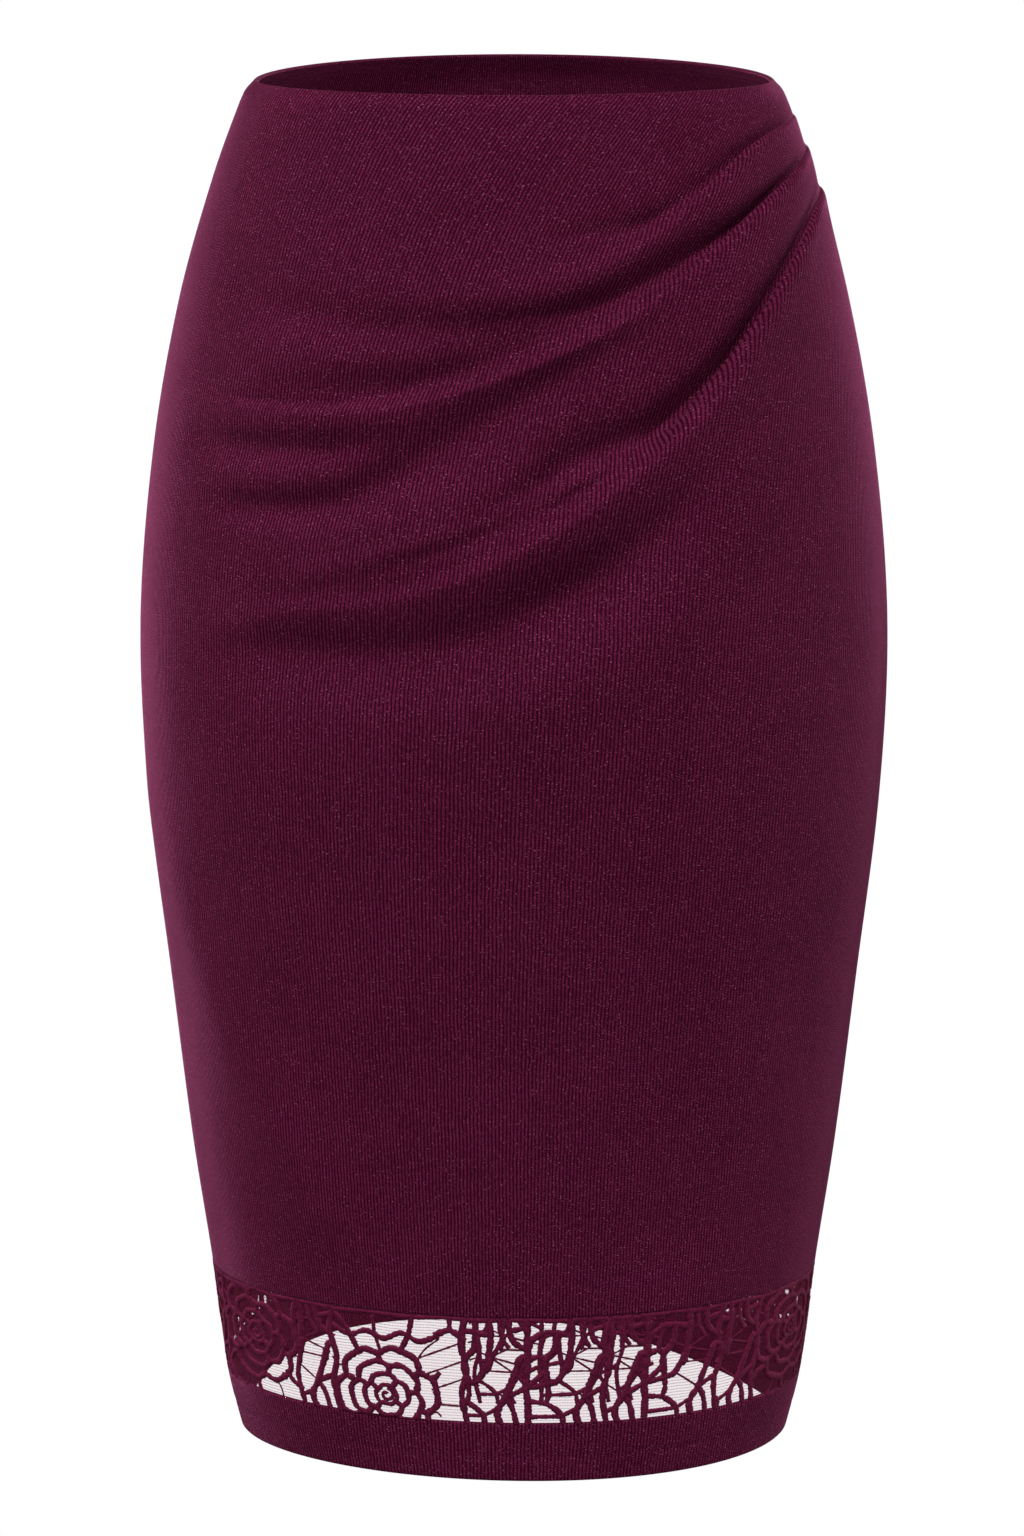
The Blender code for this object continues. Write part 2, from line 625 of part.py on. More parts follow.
def main():
    for old in list(bpy.data.objects):
        bpy.data.objects.remove(old, do_unlink=True)
    skirt = bpy.data.collections.new(OBJECT_NAME)
    bpy.context.scene.collection.children.link(skirt)
    grid_panel("front_panel", FRONT, FRONT_COLUMNS, front_rows, KNIT_WALL, skirt)
    grid_panel("back_panel", BACK, BACK_COLUMNS, back_rows, KNIT_WALL, skirt)
    lace_panel("lace_front", FRONT, FRONT_LACE, skirt)
    lace_panel("lace_back", BACK, BACK_LACE, skirt)
    grid_panel("hem_band_front", FRONT, BAND_COLUMNS, band_rows, BAND_WALL, skirt)
    grid_panel("hem_band_back", BACK, BAND_COLUMNS, band_rows, BAND_WALL, skirt)


main()
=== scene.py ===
"""Looks of a worn pencil skirt of fine rib knit, with tucks in one side seam and a lace band at the hem.

Metres, +Z up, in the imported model's frame: the origin is the centre of the waist opening, the front
faces -Y and the wearer's left side seam, where the tucks are, is at +X. "drop" is a depth below the
waist edge, "share" a part of a panel's width between its side seams, "turn" the angle round the body
from the wearer's right seam over the front, and "rise" a height above the worn form.
"""

import logging
import math
from dataclasses import dataclass, field
from enum import Enum
from typing import Iterable, Sequence

import bmesh
import bpy
import numpy as np
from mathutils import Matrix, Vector, noise


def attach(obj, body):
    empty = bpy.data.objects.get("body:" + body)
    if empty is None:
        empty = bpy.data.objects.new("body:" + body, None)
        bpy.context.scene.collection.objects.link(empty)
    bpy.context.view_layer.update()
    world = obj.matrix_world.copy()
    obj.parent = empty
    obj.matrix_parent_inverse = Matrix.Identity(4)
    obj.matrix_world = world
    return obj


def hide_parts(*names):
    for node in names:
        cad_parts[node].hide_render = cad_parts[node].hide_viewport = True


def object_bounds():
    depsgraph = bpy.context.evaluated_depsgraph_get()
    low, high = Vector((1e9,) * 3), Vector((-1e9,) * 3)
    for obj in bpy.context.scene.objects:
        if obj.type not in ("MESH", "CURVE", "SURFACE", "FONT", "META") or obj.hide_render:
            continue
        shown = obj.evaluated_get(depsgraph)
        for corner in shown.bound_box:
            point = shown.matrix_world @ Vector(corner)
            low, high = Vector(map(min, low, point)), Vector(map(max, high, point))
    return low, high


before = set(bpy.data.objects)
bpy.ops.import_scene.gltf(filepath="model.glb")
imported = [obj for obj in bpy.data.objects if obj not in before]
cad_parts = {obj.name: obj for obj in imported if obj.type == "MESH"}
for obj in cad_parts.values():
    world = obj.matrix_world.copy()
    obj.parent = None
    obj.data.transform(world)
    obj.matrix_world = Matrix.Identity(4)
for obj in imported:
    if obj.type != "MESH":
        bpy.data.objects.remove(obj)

log = logging.getLogger("pencil_skirt")

CAD_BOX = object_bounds()
BODY = "root"
CLOTH_MAP = "cloth"
MM = 0.001

Row = Sequence[float]
Point2 = tuple[float, float]
Colour = tuple[float, float, float]

# The worn form, as in the part
LACE_TOP, BAND_TOP, HEM = 0.5605, 0.6137, 0.6430
SEAM_PLANE = -0.0200
WAIST_ROLL, WAIST_ROLL_REACH = 0.0020, 0.0040
BACK_DIP = 0.0045
FOLD_LEVEL = 0.15
# drop, half width, front depth, back depth, and how much the front's and the back's depth leans to a side
SECTIONS = (
    (0.000, 0.1190, 0.0689, 0.1091, 0.00, 0.00),
    (0.012, 0.1243, 0.0725, 0.1118, 0.00, 0.00),
    (0.045, 0.1365, 0.0815, 0.1190, 0.00, 0.00),
    (0.100, 0.1525, 0.0945, 0.1310, 0.00, 0.00),
    (0.170, 0.1655, 0.1035, 0.1420, 0.00, 0.00),
    (0.250, 0.1726, 0.1065, 0.1470, 0.00, -0.02),
    (0.330, 0.1703, 0.1035, 0.1465, 0.00, -0.07),
    (0.420, 0.1608, 0.0965, 0.1445, 0.00, -0.14),
    (0.500, 0.1520, 0.0905, 0.1420, 0.02, -0.20),
    (0.560, 0.1437, 0.0868, 0.1410, 0.04, -0.25),
    (0.615, 0.1372, 0.0832, 0.1400, 0.06, -0.28),
    (0.643, 0.1308, 0.0812, 0.1395, 0.07, -0.30),
)
# share, drop of the lip, height of the lip, half width of its roll, depth of the hollow above it
UPPER_TUCK = (
    (0.00, 0.0820, 0.0000, 0.0100, 0.0000),
    (0.40, 0.0825, 0.0003, 0.0080, 0.0000),
    (0.50, 0.0790, 0.0011, 0.0056, 0.0002),
    (0.60, 0.0680, 0.0022, 0.0042, 0.0010),
    (0.70, 0.0450, 0.0031, 0.0027, 0.0026),
    (0.80, 0.0270, 0.0029, 0.0021, 0.0028),
    (0.90, 0.0197, 0.0020, 0.0020, 0.0016),
    (1.00, 0.0165, 0.0007, 0.0020, 0.0000),
)
MIDDLE_TUCK = (
    (0.00, 0.1320, 0.0000, 0.0110, 0.0000),
    (0.14, 0.1355, 0.0003, 0.0070, 0.0000),
    (0.20, 0.1370, 0.0008, 0.0044, 0.0002),
    (0.30, 0.1375, 0.0015, 0.0032, 0.0006),
    (0.40, 0.1320, 0.0018, 0.0029, 0.0008),
    (0.50, 0.1170, 0.0021, 0.0028, 0.0010),
    (0.60, 0.0955, 0.0026, 0.0027, 0.0014),
    (0.70, 0.0710, 0.0033, 0.0024, 0.0027),
    (0.80, 0.0505, 0.0034, 0.0022, 0.0036),
    (0.90, 0.0375, 0.0023, 0.0020, 0.0020),
    (1.00, 0.0300, 0.0008, 0.0020, 0.0002),
)
LOWER_TUCK = (
    (0.00, 0.2320, 0.0000, 0.0140, 0.0000),
    (0.20, 0.2300, 0.0004, 0.0100, 0.0000),
    (0.30, 0.2240, 0.0014, 0.0056, 0.0002),
    (0.40, 0.2165, 0.0019, 0.0046, 0.0005),
    (0.50, 0.1950, 0.0027, 0.0042, 0.0008),
    (0.60, 0.1620, 0.0036, 0.0040, 0.0012),
    (0.70, 0.1215, 0.0040, 0.0030, 0.0040),
    (0.80, 0.0830, 0.0038, 0.0024, 0.0042),
    (0.90, 0.0580, 0.0027, 0.0022, 0.0024),
    (1.00, 0.0490, 0.0009, 0.0022, 0.0003),
)
TUCKS = (UPPER_TUCK, MIDDLE_TUCK, LOWER_TUCK)
HOLLOW_REACH, HOLLOW_POWER = 0.0062, 1.2
TAIL_REACHES, TAIL_POWER = (0.026, 0.030, 0.018), 1.25
# share and drop of one end, share and drop of the other, height, half width
SOFT_FOLDS = (
    (0.06, 0.330, 0.29, 0.510, 0.0022, 0.020),
    (0.20, 0.085, 0.47, 0.100, -0.0014, 0.011),
    (0.24, 0.184, 0.39, 0.164, -0.0014, 0.012),
    (0.30, 0.238, 0.55, 0.212, -0.0016, 0.013),
    (0.55, 0.330, 0.66, 0.520, -0.0016, 0.026),
)
BACK_SOFT_FOLDS = (
    (0.02, 0.060, 0.40, 0.120, 0.0018, 0.014),
    (0.02, 0.095, 0.50, 0.175, 0.0016, 0.016),
    (0.30, 0.300, 0.62, 0.325, 0.0014, 0.014),
    (0.36, 0.345, 0.70, 0.365, 0.0012, 0.014),
    (0.80, 0.340, 0.70, 0.520, 0.0018, 0.020),
)
# Creases of the front that the solids leave out. Along each: share, drop, height, which is negative
# in a trough, and how far it reaches up and down the cloth.
CREASES = (
    # dark under the upper tuck's roll
    (
        (0.18, 0.0920, 0.0000, 0.0070, 0.0100), (0.26, 0.0955, -0.0022, 0.0076, 0.0100),
        (0.36, 0.1010, -0.0030, 0.0080, 0.0100), (0.44, 0.1000, -0.0034, 0.0070, 0.0100),
        (0.50, 0.0960, -0.0036, 0.0056, 0.0090), (0.55, 0.0918, -0.0044, 0.0054, 0.0080),
        (0.60, 0.0858, -0.0060, 0.0068, 0.0070), (0.65, 0.0768, -0.0064, 0.0080, 0.0056),
        (0.70, 0.0672, -0.0052, 0.0076, 0.0040), (0.75, 0.0585, -0.0034, 0.0056, 0.0032),
        (0.80, 0.0490, -0.0018, 0.0036, 0.0030), (0.86, 0.0410, 0.0000, 0.0030, 0.0030),
    ),
    # short trough above the upper tuck
    (
        (0.50, 0.0620, 0.0000, 0.0036, 0.0050), (0.55, 0.0600, -0.0014, 0.0034, 0.0050),
        (0.60, 0.0575, -0.0026, 0.0032, 0.0050), (0.64, 0.0545, -0.0024, 0.0030, 0.0046),
        (0.69, 0.0480, 0.0000, 0.0030, 0.0040),
    ),
    # slow fall towards the middle tuck's ridge
    (
        (0.22, 0.1330, 0.0000, 0.0100, 0.0050), (0.32, 0.1295, -0.0030, 0.0100, 0.0050),
        (0.38, 0.1275, -0.0052, 0.0102, 0.0048), (0.44, 0.1205, -0.0062, 0.0104, 0.0046),
        (0.50, 0.1095, -0.0052, 0.0100, 0.0044), (0.56, 0.0990, -0.0030, 0.0090, 0.0044),
        (0.62, 0.0880, 0.0000, 0.0080, 0.0040),
    ),
    # fine crease over the left end of the middle tuck
    (
        (0.19, 0.1355, 0.0000, 0.0016, 0.0016), (0.26, 0.1350, -0.0010, 0.0016, 0.0016),
        (0.31, 0.1344, -0.0014, 0.0017, 0.0017), (0.35, 0.1326, -0.0010, 0.0016, 0.0016),
        (0.40, 0.1280, 0.0000, 0.0016, 0.0016),
    ),
    # level trough below the left end of the middle tuck
    (
        (0.14, 0.1550, 0.0000, 0.0066, 0.0080), (0.21, 0.1565, -0.0028, 0.0068, 0.0080),
        (0.29, 0.1560, -0.0038, 0.0070, 0.0080), (0.35, 0.1530, -0.0034, 0.0066, 0.0080),
        (0.42, 0.1460, 0.0000, 0.0060, 0.0070),
    ),
    # broad valley between the middle and the lower tuck
    (
        (0.30, 0.1700, 0.0000, 0.0300, 0.0220), (0.38, 0.1680, -0.0024, 0.0340, 0.0220),
        (0.45, 0.1600, -0.0052, 0.0380, 0.0220), (0.52, 0.1500, -0.0062, 0.0360, 0.0200),
        (0.58, 0.1350, -0.0052, 0.0320, 0.0180), (0.64, 0.1180, -0.0026, 0.0280, 0.0160),
        (0.70, 0.1000, 0.0000, 0.0240, 0.0140),
    ),
    # trough below the middle tuck, that turns down to a patch at the left
    (
        (0.18, 0.1842, 0.0000, 0.0064, 0.0090), (0.24, 0.1838, -0.0028, 0.0068, 0.0090),
        (0.30, 0.1822, -0.0046, 0.0074, 0.0090), (0.35, 0.1772, -0.0050, 0.0080, 0.0090),
        (0.39, 0.1670, -0.0050, 0.0104, 0.0095), (0.43, 0.1550, -0.0056, 0.0120, 0.0110),
        (0.48, 0.1390, -0.0054, 0.0104, 0.0115), (0.53, 0.1250, -0.0044, 0.0084, 0.0110),
        (0.58, 0.1120, -0.0028, 0.0064, 0.0100), (0.65, 0.0970, 0.0000, 0.0046, 0.0080),
    ),
    # deep trough above the lower tuck
    (
        (0.43, 0.1915, 0.0000, 0.0052, 0.0060), (0.47, 0.1845, -0.0026, 0.0056, 0.0056),
        (0.51, 0.1740, -0.0050, 0.0072, 0.0052), (0.55, 0.1610, -0.0070, 0.0092, 0.0050),
        (0.59, 0.1530, -0.0086, 0.0102, 0.0048), (0.63, 0.1462, -0.0088, 0.0106, 0.0044),
        (0.67, 0.1345, -0.0064, 0.0092, 0.0038), (0.71, 0.1185, -0.0034, 0.0066, 0.0032),
        (0.76, 0.0980, 0.0000, 0.0044, 0.0030),
    ),
    # second ridge above the lower tuck, and the fine crease between
    (
        (0.25, 0.2185, 0.0000, 0.0060, 0.0060), (0.30, 0.2120, 0.0006, 0.0052, 0.0052),
        (0.35, 0.2055, 0.0010, 0.0046, 0.0046), (0.41, 0.1960, 0.0014, 0.0040, 0.0038),
        (0.465, 0.1862, 0.0016, 0.0036, 0.0034), (0.515, 0.1750, 0.0016, 0.0034, 0.0032),
        (0.565, 0.1640, 0.0010, 0.0032, 0.0030), (0.60, 0.1550, 0.0000, 0.0030, 0.0030),
    ),
    (
        (0.37, 0.2080, 0.0000, 0.0028, 0.0030), (0.42, 0.2005, -0.0010, 0.0028, 0.0030),
        (0.46, 0.1935, -0.0017, 0.0029, 0.0030), (0.50, 0.1850, -0.0023, 0.0030, 0.0030),
        (0.55, 0.1730, -0.0026, 0.0030, 0.0030), (0.60, 0.1590, -0.0018, 0.0030, 0.0030),
        (0.64, 0.1460, 0.0000, 0.0030, 0.0030),
    ),
    # broad dark trough under the lower tuck's end
    (
        (0.20, 0.2500, 0.0000, 0.0084, 0.0160), (0.29, 0.2480, -0.0036, 0.0100, 0.0170),
        (0.36, 0.2470, -0.0054, 0.0114, 0.0180), (0.42, 0.2440, -0.0070, 0.0130, 0.0190),
        (0.48, 0.2375, -0.0082, 0.0146, 0.0190), (0.54, 0.2225, -0.0086, 0.0158, 0.0180),
        (0.59, 0.2060, -0.0080, 0.0154, 0.0170), (0.63, 0.1900, -0.0052, 0.0130, 0.0160),
        (0.67, 0.1740, -0.0020, 0.0106, 0.0140), (0.71, 0.1600, 0.0000, 0.0100, 0.0120),
    ),
    # soft swell below it
    (
        (0.46, 0.2760, 0.0000, 0.0180, 0.0180), (0.56, 0.2560, 0.0010, 0.0170, 0.0170),
        (0.64, 0.2330, 0.0010, 0.0160, 0.0160), (0.73, 0.2000, 0.0000, 0.0150, 0.0150),
    ),
)
FINE_FOLDS = (
    (0.15, 0.205, 0.33, 0.196, -0.0006, 0.0070),
    (0.62, 0.205, 0.80, 0.125, 0.0005, 0.0060),
)
BACK_FINE_FOLDS = (
    (0.03, 0.078, 0.30, 0.118, -0.0008, 0.0060),
    (0.55, 0.312, 0.72, 0.322, -0.0006, 0.0070),
    (0.30, 0.330, 0.55, 0.344, -0.0007, 0.0060),
)
# Where a tuck's cloth lies doubled. Along the profile from above the lip to below it: the station in
# half widths of the roll, where it really lies, the height of the outer and the inner face. Heights
# above zero are parts of the lip's height, those below zero parts of the hollow's depth.
LIP_PROFILE = (
    (-1.20, -1.20, -1.00, -1.00),
    (-0.90, -0.80, -1.00, -1.00),
    (-0.65, -0.45, -1.00, -1.00),
    (-0.45, -0.08, -0.98, -1.00),
    (-0.28, 0.26, -0.86, -1.00),
    (-0.12, 0.34, -0.62, -1.00),
    (0.00, 0.16, -0.40, -1.00),
    (0.12, -0.22, -0.30, -1.00),
    (0.25, -0.60, -0.14, -1.00),
    (0.40, -0.80, 0.18, -1.00),
    (0.55, -0.78, 0.44, -1.00),
    (0.70, -0.62, 0.70, -0.96),
    (0.88, -0.26, 0.90, -0.90),
    (1.10, 0.30, 1.00, -0.72),
    (1.40, 1.00, 0.99, -0.26),
    (1.80, 1.66, 0.95, 0.16),
    (2.20, 2.18, 0.91, 0.44),
    (2.60, 2.60, 0.87, 0.70),
)
# share where each tuck's lip starts to overhang, and where it does fully
LIP_STARTS = ((0.64, 0.78), (0.60, 0.76), (0.60, 0.74))


class Half(Enum):
    """Which half of the skirt a piece is. The value is the angle round the body where it starts."""

    FRONT = 0.0
    BACK = math.pi

    def turn(self, share: np.ndarray) -> np.ndarray:
        """Angle round the body at a share of the half's width."""
        return self.value + math.pi * share


class Face(Enum):
    """Which face of a cloth wall. The value is the column of its heights in LIP_PROFILE."""

    OUTER = 2
    INNER = 3


def smooth_step(low: float, high: float, at: np.ndarray) -> np.ndarray:
    """0 up to low and 1 from high, with a soft change between."""
    part = np.clip((at - low) / (high - low), 0.0, 1.0)
    return part * part * (3 - 2 * part)


def smooth_columns(rows: Sequence[Row], at: np.ndarray) -> np.ndarray:
    """The other columns of a table at values of its first one, on smooth curves.

    Args:
        rows: The table, rising in its first column.
        at: Values of the first column.

    Returns:
        An array with one more axis than at, for the columns.
    """
    table = np.array(rows, float)
    keys, last = table[:, 0], len(table) - 1
    index = np.clip(np.searchsorted(keys, at, side="right") - 1, 0, last - 1)
    before, after = np.maximum(index - 1, 0), np.minimum(index + 2, last)
    step = (keys[index + 1] - keys[index])[..., None]
    t = np.clip((at - keys[index])[..., None] / step, 0.0, 1.0)
    low, high = table[index], table[index + 1]
    enter = (high - table[before]) / (keys[index + 1] - keys[before])[..., None] * step
    leave = (table[after] - low) / (keys[after] - keys[index])[..., None] * step
    found = (
        (2 * t**3 - 3 * t**2 + 1) * low
        + (t**3 - 2 * t**2 + t) * enter
        + (3 * t**2 - 2 * t**3) * high
        + (t**3 - t**2) * leave
    )
    return found[..., 1:]


@dataclass
class WornForm:
    """The skirt's worn shape, before and after its folds."""

    small_turn: float = 0.004
    small_drop: float = 0.0015
    small_share: float = 0.02
    girth_steps: int = 240
    fold_fade: float = 0.5
    girth: float = field(init=False)

    def __post_init__(self) -> None:
        """Measures the front's girth, which gives the folds their width."""
        self.girth = self.lengths(Half.FRONT, FOLD_LEVEL)[-1]

    def body(self, turn: np.ndarray, drop: np.ndarray) -> np.ndarray:
        """Points of the worn form.

        Args:
            turn: Angles round the body.
            drop: Depths below the waist.

        Returns:
            Their places, with a last axis of three.
        """
        turn, drop = np.broadcast_arrays(turn, drop)
        half, front, back, front_skew, back_skew = np.moveaxis(
            smooth_columns(SECTIONS, drop), -1, 0
        )
        across, depth = -np.cos(turn), np.sin(turn)
        ahead = -front * depth * (1 + front_skew * across)
        behind = -back * depth * (1 + back_skew * across * abs(across))
        dip = np.where(depth >= 0, 0.0, BACK_DIP * (drop / HEM) ** 3 * -depth * across)
        away = np.where(depth >= 0, ahead, behind)
        return np.stack([half * across, SEAM_PLANE + away, -drop - dip], -1)

    def normal(self, turn: np.ndarray, drop: np.ndarray) -> np.ndarray:
        """Outward directions of the worn form.

        Args:
            turn: Angles round the body.
            drop: Depths below the waist.

        Returns:
            Directions of length one, with a last axis of three.
        """
        drop = np.clip(drop, self.small_drop, HEM - self.small_drop)
        turns = self.body(turn + self.small_turn, drop) - self.body(turn - self.small_turn, drop)
        downs = self.body(turn, drop + self.small_drop) - self.body(turn, drop - self.small_drop)
        out = np.cross(downs, turns)
        return out / np.linalg.norm(out, axis=-1, keepdims=True)

    def lengths(self, half: Half, drop: float) -> np.ndarray:
        """Lengths round a half of the form, at even steps of its turn.

        Args:
            half: Front or back.
            drop: The depth below the waist.

        Returns:
            The lengths from the first seam, of which the last is the half's whole girth.
        """
        turns = half.turn(np.linspace(0, 1, self.girth_steps + 1))
        places = self.body(turns, np.full_like(turns, drop))
        return np.r_[0, np.cumsum(np.linalg.norm(np.diff(places, axis=0), axis=1))]

    def share_at(self, half: Half, drop: float, part: np.ndarray) -> np.ndarray:
        """Shares of the turn at parts of a half's length round the form."""
        lengths = self.lengths(half, drop)
        return np.interp(part * lengths[-1], lengths, np.linspace(0, 1, len(lengths)))

    def slant(self, tuck: Sequence[Row], share: np.ndarray) -> np.ndarray:
        """Cosine of the slope of a tuck or a crease on the cloth.

        Args:
            tuck: Its table, with the share and the drop first.
            share: Where.

        Returns:
            The cosines.
        """
        low = np.maximum(share - self.small_share, 0.0)
        high = np.minimum(share + self.small_share, 1.0)
        rise = smooth_columns(tuck, high)[..., 0] - smooth_columns(tuck, low)[..., 0]
        return 1 / np.hypot(1, rise / ((high - low) * self.girth))

    def tuck(self, index: int, share: np.ndarray, drop: np.ndarray) -> np.ndarray:
        """How far a tuck stands off the form, where its cloth lies single.

        Args:
            index: The tuck's place in TUCKS.
            share: Shares of the front's width.
            drop: Depths below the waist.

        Returns:
            The rises.
        """
        lip, height, roll, hollow = np.moveaxis(smooth_columns(TUCKS[index], share), -1, 0)
        below = (drop - lip) * self.slant(TUCKS[index], share)
        above = np.maximum(-below - roll, 0.0) / HOLLOW_REACH
        part = smooth_step(-1.0, 1.0, below / roll)
        tail = np.exp(-((np.maximum(below - roll, 0.0) / TAIL_REACHES[index]) ** TAIL_POWER))
        return height * part * tail - hollow * (1 - part) * np.exp(-(above**HOLLOW_POWER))

    def creases(self, share: np.ndarray, drop: np.ndarray) -> np.ndarray:
        """How far the front's finer creases stand off the form.

        Args:
            share: Shares of the front's width.
            drop: Depths below the waist.

        Returns:
            The rises.
        """
        total = np.zeros(np.broadcast(share, drop).shape)
        for crease in CREASES:
            level, height, up, down = np.moveaxis(smooth_columns(crease, share), -1, 0)
            away = (drop - level) * self.slant(crease, share)
            away /= np.where(away < 0, up, down)
            inside = (share > crease[0][0]) & (share < crease[-1][0])
            total += np.where(inside, height, 0.0) * np.exp(-(away**2))
        return total

    def soft(self, folds: Sequence[Row], share: np.ndarray, drop: np.ndarray) -> np.ndarray:
        """How far soft folds stand off the form. They fade out at the side seams.

        Args:
            folds: Straight folds, in the columns of SOFT_FOLDS.
            share: Shares of the half's width.
            drop: Depths below the waist.

        Returns:
            The rises.
        """
        total = np.zeros(np.broadcast(share, drop).shape)
        x, y = np.broadcast_arrays(share * self.girth, drop)
        for share_a, drop_a, share_b, drop_b, height, reach in folds:
            run, fall = (share_b - share_a) * self.girth, drop_b - drop_a
            from_x, from_y = x - share_a * self.girth, y - drop_a
            along = np.clip((from_x * run + from_y * fall) / (run**2 + fall**2), 0.0, 1.0)
            away = np.hypot(from_x - along * run, from_y - along * fall)
            total += height * np.exp(-((away / reach) ** 2))
        return total * np.sin(np.pi * np.clip(share, 0, 1)) ** self.fold_fade

    def waist(self, drop: np.ndarray) -> np.ndarray:
        """How far the turned top edge draws in."""
        return -WAIST_ROLL * np.exp(-((drop / WAIST_ROLL_REACH) ** 2))

    def cloth(self, half: Half, share: np.ndarray, drop: np.ndarray, rise: np.ndarray) -> np.ndarray:
        """Places at a rise above the worn form."""
        turn = half.turn(share)
        return self.body(turn, drop) + self.normal(turn, drop) * np.asarray(rise)[..., None]


FORM = WornForm()


class Nodes:
    """A short way to write the node tree of a material or of the world."""

    def __init__(self, owner: bpy.types.ID) -> None:
        """Starts an empty tree."""
        self.owner = owner
        owner.use_nodes = True
        self.tree = owner.node_tree
        self.tree.nodes.clear()

    @classmethod
    def material(cls, name: str) -> "Nodes":
        """Starts a material."""
        return cls(bpy.data.materials.new(name))

    def add(self, kind: str, inputs: dict | None = None, **settings: object) -> bpy.types.Node:
        """Adds a node.

        Args:
            kind: The node's type, without the leading "ShaderNode".
            inputs: Its sockets by name or number, each with a value or a socket to link.
            **settings: Its own properties.

        Returns:
            The node.
        """
        node = self.tree.nodes.new("ShaderNode" + kind)
        for name, value in settings.items():
            setattr(node, name, value)
        for key, value in (inputs or {}).items():
            if isinstance(value, bpy.types.NodeSocket):
                self.tree.links.new(value, node.inputs[key])
            else:
                node.inputs[key].default_value = value
        return node

    def math(self, operation: str, *values: object) -> bpy.types.NodeSocket:
        """The result of a Math node."""
        return self.add("Math", dict(enumerate(values)), operation=operation).outputs[0]

    def ramp(
        self, value: object, low: float, high: float, to_low: float = 0.0, to_high: float = 1.0
    ) -> bpy.types.NodeSocket:
        """A value moved from one range to another, softly and held at its ends."""
        inputs = {0: value, 1: low, 2: high, 3: to_low, 4: to_high}
        return self.add("MapRange", inputs, interpolation_type="SMOOTHSTEP").outputs[0]

    def blend(self, part: object, first: object, second: object) -> bpy.types.NodeSocket:
        """Two colours mixed.

        Args:
            part: How much of the second one, as a number or a socket.
            first: A colour or a socket.
            second: A colour or a socket.

        Returns:
            The mixed colour's socket.
        """
        node = self.add("Mix", data_type="RGBA")
        for index, value in ((0, part), (6, first), (7, second)):
            if isinstance(value, bpy.types.NodeSocket):
                self.tree.links.new(value, node.inputs[index])
            else:
                node.inputs[index].default_value = value if index == 0 else (*value, 1.0)
        return node.outputs[2]

    def noise(self, vector: object, scale: float, detail: float = 2.0) -> bpy.types.NodeSocket:
        """A soft random value."""
        inputs = {"Vector": vector, "Scale": scale, "Detail": detail, "Roughness": 0.6}
        return self.add("TexNoise", inputs).outputs[0]

    def finish(self, shader: bpy.types.NodeSocket) -> bpy.types.ID:
        """Links a shader to the output and hands the material or world over."""
        kind = "OutputWorld" if isinstance(self.owner, bpy.types.World) else "OutputMaterial"
        self.add(kind, {0: shader})
        return self.owner


@dataclass(frozen=True)
class Nap:
    """The soft matt surface of a cloth, which takes the cloth's colour and relief."""

    roughness: float
    specular: float
    sheen: float
    sheen_roughness: float
    sheen_tint: Colour

    def finish(
        self, tree: Nodes, colour: bpy.types.NodeSocket, height: bpy.types.NodeSocket, relief: float
    ) -> bpy.types.Material:
        """Finishes a material with this surface.

        Args:
            tree: The material's nodes.
            colour: The cloth's colour.
            height: The cloth's relief, from 0 up.
            relief: The real height of a relief of 1.

        Returns:
            The material.
        """
        bump = tree.add("Bump", {"Strength": 1.0, "Distance": relief, "Height": height})
        shader = tree.add(
            "BsdfPrincipled",
            {
                "Base Color": colour,
                "Roughness": self.roughness,
                "Specular IOR Level": self.specular,
                "Sheen Weight": self.sheen,
                "Sheen Roughness": self.sheen_roughness,
                "Sheen Tint": (*self.sheen_tint, 1.0),
                "Normal": bump.outputs[0],
            },
        )
        return tree.finish(shader.outputs[0])


